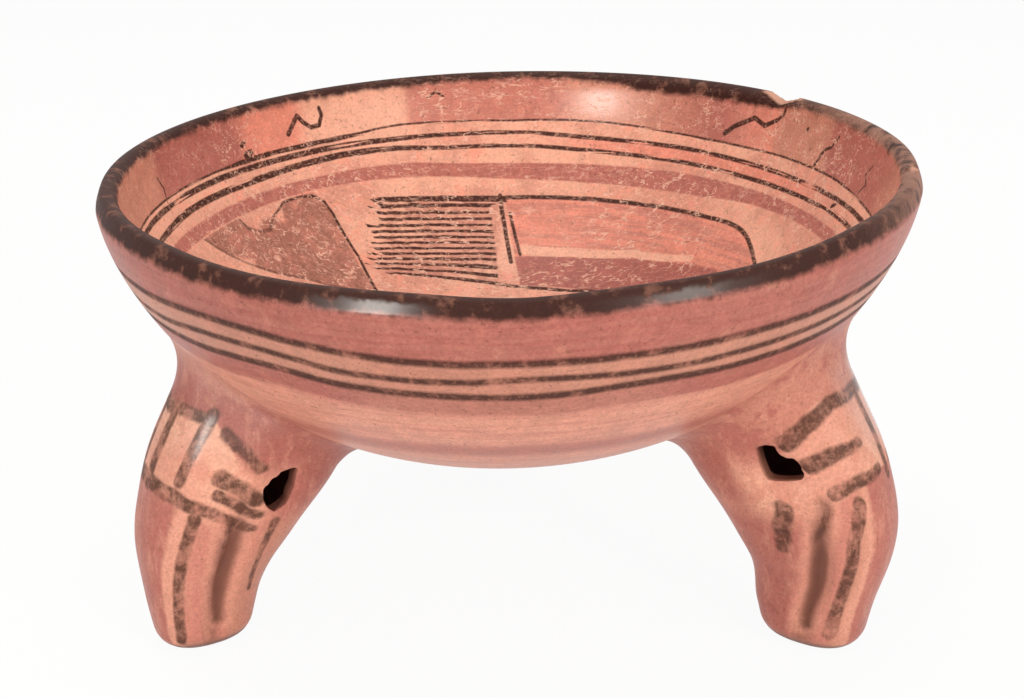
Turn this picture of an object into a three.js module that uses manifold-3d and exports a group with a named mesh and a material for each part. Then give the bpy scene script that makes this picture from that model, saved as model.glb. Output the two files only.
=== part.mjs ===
// A low-fired clay tripod bowl on three hollow rattle legs, in millimetres, +Z up.
// The floor is z = 0 and the rim is centred over the origin. The front is -Y.
// Bowl, legs and pellets were shaped apart. The legs were luted under the bowl with
// soft clay over the loose pellets, so the parts meet at thin seams and nothing else
// fastens them.

import * as THREE from 'three';
import { mergeVertices } from 'three/addons/utils/BufferGeometryUtils.js';
import Module from 'manifold-3d';

const wasm = await Module();
wasm.setup();
const up = new THREE.Vector3(0, 0, 1);

// Bowl
const rimRadius = 100;
const rimHeight = 109.6;
const bowlDepth = 70.6;
const undersideHeight = rimHeight - bowlDepth;
const bowlWall = 5.5;
// How fast the underside leaves the flat middle, and how upright it ends at the rim
const bellyPower = 2.32;
const shoulderPower = 1.55;
// Rise of the rim towards +X for each millimetre across, as the pot stands out of level
const rimSlopeShare = 0.0179;

// Legs bulge out a little past the rim, and their clay runs up to here below the rim
// before the bowl trims it
const legOverhang = 1.7;
const legTopBelowRim = 17.6;
const legReach = rimRadius + legOverhang;
const legTop = rimHeight - legTopBelowRim;
const legWall = 4.5;
// Height, outer face and inner face of the leg's side view
const legOutlineShares = [
  [0, 0.964, 0.762],
  [0.042, 0.977, 0.757],
  [0.153, 0.991, 0.721],
  [0.305, 1, 0.613],
  [0.458, 0.976, 0.499],
  [0.585, 0.934, 0.442],
  [0.721, 0.865, 0.375],
  [0.848, 0.793, 0.3],
  [1, 0.72, 0.24],
];
// Half the leg's thickness is this share of half its depth, and this much more
const legFlatnessShare = 0.6;
const legThickening = 2;
// Power of the rounded-square section
const sectionPower = 2.4;
const footRound = 5;
// A splayed leg starts to lean out here and has its full lean here
const splayStart = 8;
const splayEnd = 36;
// The inner face swells into a heel between these heights
const heelFull = 9;
const heelEnd = 22;

// Rattle chamber in the upper leg, reaching this far below the middle of the bowl
const chamberDrop = 13;
const chamberFloor = undersideHeight - chamberDrop;
const chamberRound = 4;

// Pellets of fired clay, two in each chamber, too big to leave by the vents: their size
// and spacing as shares of half the depth of the chamber's foot
const pelletSizeShare = 0.632;
const pelletSpacingShare = 0.79;
const pelletClearance = 0.4;

// Vents: oval holes pierced in each flank, inwards from the leg's outermost reach
const ventDepth = 9;
const ventHeight = 10;
const ventInset = 28.7;
const ventRise = 7;
const ventCentreHeight = undersideHeight + ventRise;

// Pressed grooves down each flank, from below the vent to the foot
const grooveRadius = 2.4;
const groovePress = 1.4;
const grooveTopHeight = 38;
const grooveFootHeight = 7;
// Along the groove from its top, the share of its full size
const grooveTaperShares = [0.25, 0.8, 1, 0.95, 0.8, 0.6, 0.35];

// Luting: the clay roll smoothed into the corner between leg and bowl
const lutingSpread = 8;
const lutingLip = 0.6;
const lutingOverrun = 4;
const lutingArcSteps = 4;

// Clearance kept where one piece meets the next
const seam = 0.3;

// Facets
const bowlSides = 64;
const bowlRows = 14;
const lipSteps = 5;
const legSides = 24;
const legRows = 13;
const chamberSides = 18;
const chamberRows = 8;
const grooveSides = 8;
const ventSides = 14;

// Directions are counted in degrees from the front, positive towards +X
const legs = [
  {
    name: 'front_left',
    azimuth: -59.9,
    shift: 0,
    splay: 0,
    heel: 1.4,
    grooveShares: [0.13, -0.05],
    // The near vent is worn uneven: its middle and corners in half sizes of a round one
    wornVent: {
      side: 1,
      middleShares: [-0.4, -0.8],
      cornerShares: [[-1, 1], [-0.42, -0.68], [0.33, -1.04], [0.84, -0.54], [0.98, 0.34], [0.02, 1.02]],
    },
  },
  {
    name: 'front_right',
    azimuth: 58.6,
    shift: 0,
    splay: 3.9,
    heel: 3.2,
    grooveShares: [0.42, 0.1],
    wornVent: {
      side: -1,
      middleShares: [0.98, 1],
      cornerShares: [
        [-1.24, 0.64], [-0.58, -0.74], [1.11, -0.52], [1.29, -0.12],
        [0.84, 0.44], [0.13, 0.52], [-0.42, 0.94],
      ],
    },
  },
  { name: 'back', azimuth: 180, shift: -2.2, splay: 0, heel: 2, grooveShares: [0.2, 0] },
];

// Chips knocked out of the rim
const chips = [
  { azimuth: 126, length: 14, depth: 3 },
  { azimuth: 78, length: 12, depth: 1.4 },
];

const materials = {
  paintedClay: new THREE.MeshStandardMaterial({ color: 0xb9705e, roughness: 0.5, metalness: 0 }),
  legClay: new THREE.MeshStandardMaterial({ color: 0xc98670, roughness: 0.55, metalness: 0 }),
  lutingClay: new THREE.MeshStandardMaterial({ color: 0xb87562, roughness: 0.6, metalness: 0 }),
  pelletClay: new THREE.MeshStandardMaterial({ color: 0x8a5a48, roughness: 0.85, metalness: 0 }),
};

// A solid from a closed geometry, with shared corners merged and slivers at poles dropped
function solidOf(geometry) {
  geometry.deleteAttribute('normal');
  geometry.deleteAttribute('uv');
  const merged = mergeVertices(geometry);
  const corners = merged.index.array;
  const triangles = [];
  for (let i = 0; i < corners.length; i += 3) {
    const [a, b, c] = corners.slice(i, i + 3);
    if (a !== b && b !== c && c !== a) {
      triangles.push(a, b, c);
    }
  }
  return new wasm.Manifold(new wasm.Mesh({
    numProp: 3,
    vertProperties: new Float32Array(merged.attributes.position.array),
    triVerts: new Uint32Array(triangles),
  }));
}

function geometryOf(solid) {
  const mesh = solid.getMesh();
  const geometry = new THREE.BufferGeometry();
  geometry.setAttribute('position', new THREE.BufferAttribute(mesh.vertProperties, 3));
  geometry.setIndex(new THREE.BufferAttribute(mesh.triVerts, 1));
  geometry.computeVertexNormals();
  return geometry;
}

// A closed skin over rings of points, each ring anticlockwise seen from the last one
function loft(rings) {
  const sides = rings[0].length;
  const middle = (ring) => ring.reduce((sum, p) => sum.add(p), new THREE.Vector3()).divideScalar(sides);
  const points = [...rings.flat(), middle(rings[0]), middle(rings.at(-1))];
  const bottom = points.length - 2;
  const top = points.length - 1;
  const last = (rings.length - 1) * sides;
  const index = [];
  for (let side = 0; side < sides; side += 1) {
    const next = (side + 1) % sides;
    index.push(bottom, next, side);
    index.push(top, last + side, last + next);
    for (let row = 0; row < last; row += sides) {
      index.push(row + side, row + next, row + sides + next);
      index.push(row + side, row + sides + next, row + sides + side);
    }
  }
  const geometry = new THREE.BufferGeometry().setFromPoints(points);
  geometry.setIndex(index);
  return geometry;
}

// The bowl's outer profile at a share of the way from the middle of the underside to
// the rim, moved out along its normal
function bowlProfile(share, outwards) {
  const angle = share * Math.PI / 2;
  const rise = rimHeight - bowlWall / 2 - undersideHeight;
  const point = new THREE.Vector2(
    rimRadius * Math.sin(angle) ** (2 / bellyPower),
    undersideHeight + rise * (1 - Math.max(Math.cos(angle), 0) ** (2 / shoulderPower)),
  );
  const run = rimRadius / bellyPower * Math.max(Math.cos(angle), 0) ** (2 - 2 / shoulderPower);
  const climb = rise / shoulderPower * Math.sin(angle) ** (2 - 2 / bellyPower);
  const normal = new THREE.Vector2(climb, -run).normalize();
  point.addScaledVector(normal, outwards);
  if (share === 0) {
    point.x = 0;
  }
  return point;
}

// Height of the bowl's outer face over a place on the floor
function undersideAt(x, y) {
  const rise = rimHeight - bowlWall / 2 - undersideHeight;
  const share = Math.min(Math.hypot(x, y) / rimRadius, 1);
  const height = undersideHeight + rise * (1 - (1 - share ** bellyPower) ** (1 / shoulderPower));
  return height + rimSlopeShare * x;
}

// The rim's slope lifts every point by its distance across
const outOfLevel = new THREE.Matrix4().set(
  1, 0, 0, 0,
  0, 1, 0, 0,
  rimSlopeShare, 0, 1, 0,
  0, 0, 0, 1,
);

function lathe(profile) {
  const geometry = new THREE.LatheGeometry(profile, bowlSides);
  geometry.rotateX(Math.PI / 2);
  return geometry.applyMatrix4(outOfLevel);
}

function profileRow(outwards) {
  const row = [];
  for (let step = 0; step <= bowlRows; step += 1) {
    row.push(bowlProfile(step / bowlRows, outwards));
  }
  return row;
}

// The full shape of the bowl with its mouth closed, grown by a clearance: what the legs
// and the luting are trimmed to
function bowlEnvelope(clearance) {
  const profile = profileRow(clearance);
  const top = rimHeight + clearance;
  profile.push(new THREE.Vector2(rimRadius + clearance, top));
  profile.push(new THREE.Vector2(0, top));
  return solidOf(lathe(profile));
}

function chipCutter(chip) {
  const lipRadius = bowlWall / 2;
  const angle = THREE.MathUtils.degToRad(chip.azimuth);
  const cutter = new THREE.IcosahedronGeometry(1, 1);
  cutter.scale(chip.length / 2, bowlWall, chip.depth);
  cutter.rotateZ(angle);
  const x = (rimRadius - lipRadius) * Math.sin(angle);
  const y = -(rimRadius - lipRadius) * Math.cos(angle);
  cutter.translate(x, y, rimHeight + rimSlopeShare * x);
  return solidOf(cutter);
}

function bowl() {
  const lipRadius = bowlWall / 2;
  const lip = [];
  for (let step = 1; step < lipSteps; step += 1) {
    const angle = step / lipSteps * Math.PI;
    lip.push(new THREE.Vector2(
      rimRadius - lipRadius + lipRadius * Math.cos(angle),
      rimHeight - lipRadius + lipRadius * Math.sin(angle),
    ));
  }
  const profile = [...profileRow(0), ...lip, ...profileRow(-bowlWall).reverse()];
  let solid = solidOf(lathe(profile));
  for (const chip of chips) {
    solid = solid.subtract(chipCutter(chip));
  }
  return new THREE.Mesh(geometryOf(solid), materials.paintedClay);
}

// A smooth curve through the columns of a table whose first column rises
function tableAt(table, share, column) {
  const last = table.length - 1;
  let i = 0;
  while (i < last - 1 && share > table[i + 1][0]) {
    i += 1;
  }
  const slope = (k) => {
    const from = table[Math.max(k - 1, 0)];
    const to = table[Math.min(k + 1, last)];
    return (to[column] - from[column]) / (to[0] - from[0]);
  };
  const width = table[i + 1][0] - table[i][0];
  const t = (share - table[i][0]) / width;
  const start = table[i][column] * (1 + 2 * t) * (1 - t) ** 2;
  const end = table[i + 1][column] * (3 - 2 * t) * t ** 2;
  const bend = width * (slope(i) * t * (1 - t) ** 2 - slope(i + 1) * t ** 2 * (1 - t));
  return start + end + bend;
}

// Middle and half sizes of a leg's section at a height, drawn in where an end is rounded
function legSection(leg, height, inset, floor, round) {
  const share = height / legTop;
  const outer = legReach * tableAt(legOutlineShares, share, 1);
  const heel = leg.heel * (1 - THREE.MathUtils.smoothstep(height, heelFull, heelEnd));
  const inner = legReach * tableAt(legOutlineShares, share, 2) - heel;
  const lean = THREE.MathUtils.smoothstep(height, splayStart, splayEnd) * leg.splay;
  const depth = (outer - inner) / 2;
  const fromEnd = Math.max(round - (height - floor), 0);
  const drawnIn = round - Math.sqrt(Math.max(round ** 2 - fromEnd ** 2, 0));
  return {
    middle: (outer + inner) / 2 + leg.shift + lean,
    depth: depth - inset - drawnIn,
    thickness: depth * legFlatnessShare + legThickening - inset - drawnIn,
  };
}

function powered(value) {
  return Math.sign(value) * Math.abs(value) ** (2 / sectionPower);
}

function sectionRing(section, height, sides) {
  const ring = [];
  for (let side = 0; side < sides; side += 1) {
    const angle = side / sides * 2 * Math.PI;
    ring.push(new THREE.Vector3(
      section.middle + section.depth * powered(Math.cos(angle)),
      section.thickness * powered(Math.sin(angle)),
      height,
    ));
  }
  return ring;
}

// A leg-shaped solid from a floor up into the bowl, in the leg's own frame: X runs out
// from the bowl's axis and Y across the leg
function legForm(leg, inset, floor, round, sides, rows) {
  const heights = [];
  const roundSteps = 3;
  for (let step = 0; step < roundSteps; step += 1) {
    const angle = step / roundSteps * Math.PI / 2;
    heights.push(floor + round * (1 - Math.cos(angle)));
  }
  for (let row = 0; row <= rows; row += 1) {
    heights.push(floor + round + (legTop - floor - round) * row / rows);
  }
  return solidOf(loft(heights.map((height) => {
    const section = legSection(leg, height, inset, floor, round);
    return sectionRing(section, height, sides);
  })));
}

// Turns a leg's own frame to its place under the bowl
function legTurn(leg) {
  return THREE.MathUtils.degToRad(leg.azimuth) - Math.PI / 2;
}

function place(leg, geometry, material) {
  const mesh = new THREE.Mesh(geometry, material);
  mesh.rotation.z = legTurn(leg);
  return mesh;
}

// The bowl's envelope seen from a leg's own frame
function envelopeFor(leg, clearance) {
  return bowlEnvelope(clearance).rotate([0, 0, -THREE.MathUtils.radToDeg(legTurn(leg))]);
}

// A cut from inside the chamber out past the flank, which it starts within and clears
function flankCut(leg, outline, side) {
  const shape = new THREE.Shape(outline.map(([x, y]) => new THREE.Vector2(x, y)));
  const run = 2 * legSection(leg, ventCentreHeight, 0, 0, footRound).thickness;
  const cut = new THREE.ExtrudeGeometry(shape, { depth: run, bevelEnabled: false });
  cut.rotateX(Math.PI / 2);
  cut.translate(0, (side > 0 ? run : 0) + side * legWall, 0);
  return solidOf(cut);
}

function vent(leg, side) {
  const ovalShares = Array.from({ length: ventSides }, (_, i) => {
    const angle = i / ventSides * 2 * Math.PI;
    return [Math.cos(angle), Math.sin(angle)];
  });
  const worn = leg.wornVent && leg.wornVent.side === side;
  const [across, high] = worn ? leg.wornVent.middleShares : [0, 0];
  const cornerShares = worn ? leg.wornVent.cornerShares : ovalShares;
  const middle = legReach - ventInset + leg.shift + leg.splay;
  return flankCut(leg, cornerShares.map(([x, y]) => [
    middle + ventDepth / 2 * (across + x),
    ventCentreHeight + ventHeight / 2 * (high + y),
  ]), side);
}

// The spindle of a fingertip groove, pressed a little way into one flank
function groove(leg, side) {
  const rings = grooveTaperShares.map((size, i) => {
    const along = i / (grooveTaperShares.length - 1);
    const height = THREE.MathUtils.lerp(grooveTopHeight, grooveFootHeight, along);
    const across = THREE.MathUtils.lerp(leg.grooveShares[0], leg.grooveShares[1], along);
    const section = legSection(leg, height, 0, 0, footRound);
    const flank = section.thickness * (1 - Math.abs(across) ** sectionPower) ** (1 / sectionPower);
    const radius = grooveRadius * size;
    const centre = flank + radius - groovePress * size;
    const ring = [];
    for (let step = 0; step < grooveSides; step += 1) {
      const angle = -step / grooveSides * 2 * Math.PI;
      ring.push(new THREE.Vector3(
        section.middle + section.depth * across + radius * Math.cos(angle),
        side * centre + radius * Math.sin(angle),
        height,
      ));
    }
    return ring;
  });
  return solidOf(loft(rings));
}

function legMesh(leg) {
  const outside = legForm(leg, 0, 0, footRound, legSides, legRows);
  const inside = legForm(leg, legWall, chamberFloor, chamberRound, chamberSides, chamberRows);
  let solid = outside.subtract(inside).subtract(envelopeFor(leg, seam));
  for (const side of [1, -1]) {
    solid = solid.subtract(vent(leg, side)).subtract(groove(leg, side));
  }
  return place(leg, geometryOf(solid), materials.legClay);
}

// Where one line down the leg's skin runs into the underside of the bowl
function cornerHeight(leg, angle) {
  let low = chamberFloor;
  let high = legTop;
  const turn = legTurn(leg);
  for (let halving = 0; halving < 30; halving += 1) {
    const height = (low + high) / 2;
    const point = skinPoint(leg, angle, height).applyAxisAngle(up, turn);
    if (point.z < undersideAt(point.x, point.y)) {
      low = height;
    } else {
      high = height;
    }
  }
  return low;
}

function skinPoint(leg, angle, height) {
  const section = legSection(leg, height, 0, 0, footRound);
  return new THREE.Vector3(
    section.middle + section.depth * powered(Math.cos(angle)),
    section.thickness * powered(Math.sin(angle)),
    height,
  );
}

// The underside of the bowl below or above a point given in a leg's own frame
function ontoUnderside(leg, point) {
  const spot = point.clone().applyAxisAngle(up, legTurn(leg));
  return new THREE.Vector3(point.x, point.y, undersideAt(spot.x, spot.y));
}

// The roll fills the corner between two feet, one down the leg and one out on the bowl,
// with a hollow curve between them
function lutingMesh(leg) {
  const rings = Array.from({ length: lutingArcSteps + 2 }, () => []);
  for (let side = 0; side < legSides; side += 1) {
    const angle = side / legSides * 2 * Math.PI;
    const height = cornerHeight(leg, angle);
    const corner = skinPoint(leg, angle, height);
    const section = legSection(leg, height, 0, 0, footRound);
    const away = new THREE.Vector3(
      powered(Math.cos(angle)) ** 2 * Math.sign(Math.cos(angle)) / section.depth,
      powered(Math.sin(angle)) ** 2 * Math.sign(Math.sin(angle)) / section.thickness,
      0,
    ).normalize();
    const legFoot = skinPoint(leg, angle, height - lutingSpread).addScaledVector(away, lutingLip);
    // The foot on the bowl lies the same spread away, counted along the underside's slope
    const level = ontoUnderside(leg, corner.clone().addScaledVector(away, lutingSpread));
    const steepness = (level.z - corner.z) / lutingSpread;
    const reach = lutingSpread / Math.hypot(1, steepness);
    const bowlFoot = ontoUnderside(leg, corner.clone().addScaledVector(away, reach));
    bowlFoot.z -= lutingLip;
    corner.addScaledVector(away, lutingLip);
    corner.z -= lutingLip;
    const curve = new THREE.QuadraticBezierCurve3(legFoot, corner, bowlFoot);
    for (let step = 0; step <= lutingArcSteps; step += 1) {
      rings[step].push(curve.getPoint(step / lutingArcSteps));
    }
    rings.at(-1).push(bowlFoot.clone().setZ(bowlFoot.z + lutingOverrun));
  }
  const solid = solidOf(loft(rings))
    .subtract(legForm(leg, -seam, 0, footRound, legSides, legRows))
    .subtract(envelopeFor(leg, seam));
  return place(leg, geometryOf(solid), materials.lutingClay);
}

// Pellets lie side by side on the chamber floor, one nearer the bowl's axis
function pelletMesh(leg, side) {
  const foot = legSection(leg, chamberFloor + chamberRound, legWall, chamberFloor, chamberRound);
  const radius = foot.depth * pelletSizeShare / 2;
  const height = chamberFloor + pelletClearance + radius;
  const section = legSection(leg, height, legWall, chamberFloor, chamberRound);
  const geometry = new THREE.IcosahedronGeometry(radius, 2);
  const aside = side * foot.depth * pelletSpacingShare / 2;
  geometry.translate(section.middle + aside, 0, height);
  return place(leg, geometry, materials.pelletClay);
}

function named(mesh, name) {
  mesh.name = name;
  return mesh;
}

const tripodBowl = new THREE.Group();
tripodBowl.add(named(bowl(), 'bowl'));
for (const leg of legs) {
  tripodBowl.add(named(legMesh(leg), `leg_${leg.name}`));
  tripodBowl.add(named(lutingMesh(leg), `luting_${leg.name}`));
  tripodBowl.add(named(pelletMesh(leg, 1), `pellet_${leg.name}_outer`));
  tripodBowl.add(named(pelletMesh(leg, -1), `pellet_${leg.name}_inner`));
}

export default tripodBowl;
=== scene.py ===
# %% [markdown]
# A painted clay bowl on three hollow rattle legs, dressed for the camera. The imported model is
# the fixed frame: it says where each piece is. Every lesson below takes one piece or one
# finish, says what it is on the real pot, and builds it. Lengths are shaped in millimetres,
# as the source of the solids has them, and each mesh is scaled to metres last.

# %% Load the frame
from math import atan2, cos, degrees, hypot, pi, radians, sin, sqrt
from types import SimpleNamespace

import bmesh
import bpy
from mathutils import Matrix, Vector, kdtree, noise


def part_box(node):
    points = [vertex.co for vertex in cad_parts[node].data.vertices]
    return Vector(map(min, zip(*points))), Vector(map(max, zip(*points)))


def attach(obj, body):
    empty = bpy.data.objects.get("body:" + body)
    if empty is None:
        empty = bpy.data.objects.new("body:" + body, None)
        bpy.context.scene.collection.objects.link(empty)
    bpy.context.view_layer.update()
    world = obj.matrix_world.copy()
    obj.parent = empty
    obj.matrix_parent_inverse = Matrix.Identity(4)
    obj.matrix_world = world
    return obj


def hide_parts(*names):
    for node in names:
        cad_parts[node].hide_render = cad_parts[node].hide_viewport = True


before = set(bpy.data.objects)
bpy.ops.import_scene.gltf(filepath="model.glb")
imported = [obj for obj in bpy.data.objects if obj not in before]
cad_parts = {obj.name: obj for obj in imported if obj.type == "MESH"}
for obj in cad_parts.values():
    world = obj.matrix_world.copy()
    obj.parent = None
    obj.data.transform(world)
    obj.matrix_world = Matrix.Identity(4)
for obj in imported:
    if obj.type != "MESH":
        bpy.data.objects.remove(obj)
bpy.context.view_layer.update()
millimetre = 0.001


def show(name, data):
    """A new object in the scene that shows some data."""
    shown = bpy.data.objects.new(name, data)
    bpy.context.scene.collection.objects.link(shown)
    return shown


print("CAD nodes:", len(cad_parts))

# %% [markdown]
# The camera comes first, because every later choice is judged through it. The photograph was
# taken from the front, 22 degrees above the floor and leaning by less than half a degree, with
# a short telephoto lens. The camera looks along its own -Z axis, so its axes are written down
# as a turned frame rather than as three Euler angles that would be hard to check.

# %% Camera
camera_height = radians(21.93)
camera_lean = radians(-0.38)
camera_distance = 0.4139
camera_target = Vector((0.0006, 0, 0.0578))
backwards = Vector((0, -cos(camera_height), sin(camera_height)))
level_up = Vector((0, sin(camera_height), cos(camera_height)))
level_right = Vector((1, 0, 0))
camera_right = cos(camera_lean) * level_right + sin(camera_lean) * level_up
camera_up = -sin(camera_lean) * level_right + cos(camera_lean) * level_up
camera_data = bpy.data.cameras.new("camera")
camera_data.lens = 56.25
camera_data.sensor_width = 36
camera = show("camera", camera_data)
turned = Matrix((camera_right, camera_up, backwards)).transposed().to_4x4()
camera.matrix_world = Matrix.Translation(camera_target + backwards * camera_distance) @ turned
bpy.context.scene.camera = camera
print("camera at", [round(value, 3) for value in camera.matrix_world.translation])

# %% [markdown]
# The studio is a pale floor, a white surround and soft lamps. A tall, narrow soft box at the
# front left gives the glare on the front lip, on the left leg's shoulder and on the burnished
# back wall: its place was found by reflecting the camera's line of sight at those spots. A
# wider one stands at the right, and one lamp from above shapes the form. Area lamps give such
# wide highlights; a sun or a point lamp would give hard shadows that the photograph lacks.

# %% Lamps
pot_middle = Vector((0, 0, 0.07))
lamp_colour = (1, 0.95, 0.88)


def soft_lamp(name, place, width, height, watts):
    """An upright area lamp that faces the middle of the pot."""
    lamp = bpy.data.lights.new(name, "AREA")
    lamp.shape = "RECTANGLE"
    lamp.size = width
    lamp.size_y = height
    lamp.energy = watts
    lamp.color = lamp_colour
    aim = (pot_middle - Vector(place)).to_track_quat("-Z", "Y")
    show(name, lamp).matrix_world = Matrix.Translation(place) @ aim.to_matrix().to_4x4()


soft_lamp("left strip box", (-0.58, -0.89, 0.36), 0.2, 0.55, 4.6)
soft_lamp("right soft box", (0.74, -0.78, 0.47), 0.32, 0.5, 6.6)
soft_lamp("top lamp", (-0.15, 0.1, 1.3), 0.7, 0.7, 9.2)
print("lamps:", len(bpy.data.lights))

# %% [markdown]
# Every material below is sums and masks, so a value in a shader tree is wrapped to be added and
# multiplied like a number. Each operation puts one Math node in the tree at work, and the
# few tools here put all the others.

# %% Tools for shader trees
work = SimpleNamespace(tree=None)


def open_tree(owner):
    """Take the empty shader tree of a material or world as the tree at work."""
    owner.use_nodes = True
    work.tree = owner.node_tree
    work.tree.nodes.clear()


def feed(socket, value):
    """Link a value from the tree to an input, or give the input a plain one."""
    if isinstance(value, Flow):
        work.tree.links.new(value.socket, socket)
    elif value is not None:
        socket.default_value = value


def put(kind, *inputs, **settings):
    """A new node with its settings, and its first inputs fed."""
    made = work.tree.nodes.new(kind)
    for name, value in settings.items():
        setattr(made, name, value)
    for socket, value in zip(made.inputs, inputs):
        feed(socket, value)
    return made


def flow(kind, *inputs, out=0, **settings):
    """One output of a new node."""
    return Flow(put(kind, *inputs, **settings).outputs[out])


def calc(operation, *values):
    """The result of a Math node."""
    return flow("ShaderNodeMath", *values, operation=operation)


class Flow:
    """A value on its way through a shader tree."""

    def __init__(self, socket):
        self.socket = socket

    def __add__(self, other):
        return calc("ADD", self, other)

    def __sub__(self, other):
        return calc("SUBTRACT", self, other)

    def __rsub__(self, other):
        return calc("SUBTRACT", other, self)

    def __mul__(self, other):
        return calc("MULTIPLY", self, other)

    def __truediv__(self, other):
        return calc("DIVIDE", self, other)

    def __rtruediv__(self, other):
        return calc("DIVIDE", other, self)

    def __abs__(self):
        return calc("ABSOLUTE", self)


def held(value):
    """The same result, kept between 0 and 1."""
    value.socket.node.use_clamp = True
    return value


def linear(value, slope, start):
    """A value times a slope, plus a start."""
    return calc("MULTIPLY_ADD", value, slope, start)


def larger(first, *others):
    """The largest of some values."""
    for other in others:
        first = calc("MAXIMUM", first, other)
    return first


def vector_math(operation, *vectors, out=0):
    """The result of a Vector Math node."""
    return flow("ShaderNodeVectorMath", *vectors, operation=operation, out=out)


def split(vector, kind="ShaderNodeSeparateXYZ"):
    """The three parts of a vector or a colour."""
    return [Flow(socket) for socket in put(kind, vector).outputs]


def joined(x, y, z=0.0):
    """A vector from its parts."""
    return flow("ShaderNodeCombineXYZ", x, y, z)


def ramp_up(value, low, high, start=0.0, end=1.0):
    """A smooth step of a value between two levels."""
    return flow("ShaderNodeMapRange", value, low, high, start, end, interpolation_type="SMOOTHSTEP")


def window(value, low, high, soft):
    """A mask that is open between two levels of a value."""
    return ramp_up(value, low - soft, low + soft) * ramp_up(value, high + soft, high - soft)


def blend(share, under, over, mode="MIX"):
    """One colour laid over another by a share."""
    mixer = put("ShaderNodeMix", data_type="RGBA", blend_type=mode)
    for socket, value in zip((mixer.inputs[0], mixer.inputs[6], mixer.inputs[7]), (share, under, over)):
        feed(socket, value)
    return Flow(mixer.outputs[2])


def colour_ramp(value, stops):
    """Colours at places along a value."""
    ramp = put("ShaderNodeValToRGB", value)
    elements = ramp.color_ramp.elements
    for element, (place, paint) in zip(elements, (stops[0], stops[-1])):
        element.position = place
        element.color = paint
    for place, paint in stops[1:-1]:
        elements.new(place).color = paint
    return Flow(ramp.outputs[0])


def colour_of(red, green, blue):
    """A colour picked on the screen, as the linear values that shaders work in."""
    levels = []
    for value in (red, green, blue):
        share = value / 255
        levels.append(share / 12.92 if share <= 0.04045 else ((share + 0.055) / 1.055) ** 2.4)
    return (*levels, 1)


def seen_rays():
    """One for what the camera sees, directly or in a reflection, and zero for light on its way."""
    rays = put("ShaderNodeLightPath").outputs
    return larger(*(Flow(rays[f"Is {kind} Ray"]) for kind in ("Camera", "Glossy", "Transmission")))


print("a red slip is", [round(value, 3) for value in colour_of(184, 113, 101)])

# %% [markdown]
# The surround is white to look at, but it lights the pot much less, so the lamps shape it. The
# floor is one wide sheet. It must read as white paper, yet keep the soft shadow under the feet.
# Its material is plain white paint, and for camera rays a share of even white is mixed in,
# which lifts the paper to white without sending more light onto the pot.

# %% Surround and floor
white = (1, 1, 1, 1)
surround = bpy.data.worlds.new("white surround")
bpy.context.scene.world = surround
open_tree(surround)
lit = flow("ShaderNodeBackground", (0.97, 0.99, 1, 1), 0.35)
shown = flow("ShaderNodeBackground", white, 1.0)
put("ShaderNodeOutputWorld", flow("ShaderNodeMixShader", seen_rays(), lit, shown))

floor_mesh = bpy.data.meshes.new("floor")
sheet = bmesh.new()
bmesh.ops.create_grid(sheet, x_segments=2, y_segments=2, size=6)
sheet.to_mesh(floor_mesh)
sheet.free()
paper = bpy.data.materials.new("floor paper")
open_tree(paper)
matt = flow("ShaderNodeBsdfDiffuse", (0.9, 0.9, 0.9, 1))
even = flow("ShaderNodeEmission", white, 1.0)
put("ShaderNodeOutputMaterial", flow("ShaderNodeMixShader", seen_rays() * 0.94, matt, even))
floor_mesh.materials.append(paper)
show("floor", floor_mesh)
print("floor:", len(floor_mesh.polygons), "faces")

# %% [markdown]
# The bowl's shape is a curve turned round an axis, as a turntable or a coil-builder's hands
# give it. The named sizes and the curve are those of the solids' source, so this finer bowl
# lies in the same skin. The curve is a rounded square: one power says how fast the underside
# leaves the flat middle, another how upright it ends at the rim.

# %% The bowl's curve
rim_radius = 100
rim_height = 109.6
underside_height = 39
bowl_wall = 5.5
belly_power = 2.32
shoulder_power = 1.55
rim_slope = 0.0179
lip_radius = bowl_wall / 2
wall_rise = rim_height - lip_radius - underside_height
# The lip's crest is worn a little flatter than a half round, and its outer corner to a facet
lip_flattening = 0.93
facet_start = 1.8
facet_height = 4.2
facet_lean = 0.36
facet_bow = 0.12


def bowl_point(share, outwards):
    """A point of the outer curve, from the middle of the underside (0) to the rim (1)."""
    angle = share * pi / 2
    away = sin(angle)
    level = max(cos(angle), 0)
    point = Vector((
        rim_radius * away ** (2 / belly_power),
        underside_height + wall_rise * (1 - level ** (2 / shoulder_power)),
    ))
    run = rim_radius / belly_power * level ** (2 - 2 / shoulder_power)
    climb = wall_rise / shoulder_power * away ** (2 - 2 / belly_power)
    point += Vector((climb, -run)).normalized() * outwards
    if share == 0:
        point.x = 0
    return point


def underside_at(x, y):
    """Height of the bowl's outer face over a place on the floor."""
    share = min(hypot(x, y) / rim_radius, 1)
    level = underside_height + wall_rise * (1 - (1 - share ** belly_power) ** (1 / shoulder_power))
    return level + rim_slope * x


wall_rows = 88
lip_rows = 14
outer_curve = [bowl_point(row / wall_rows, 0) for row in range(wall_rows + 1)]
inner_curve = [bowl_point(row / wall_rows, -bowl_wall) for row in range(wall_rows + 1)]
lip_curve = []
for row in range(1, lip_rows):
    angle = row / lip_rows * pi
    lip_curve.append(Vector((
        rim_radius - lip_radius + lip_radius * cos(angle),
        rim_height - lip_radius + lip_radius * lip_flattening * sin(angle),
    )))


def worn_corner(point):
    """Hold a point of the section inside the leaning facet of the lip."""
    above = point.y - (rim_height - lip_radius) + facet_start
    if not 0 < above < facet_height:
        return point
    half = facet_height / 2
    limit = rim_radius - facet_lean * above + facet_bow * (1 - ((above - half) / half) ** 2)
    return Vector((min(point.x, limit), point.y))


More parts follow.
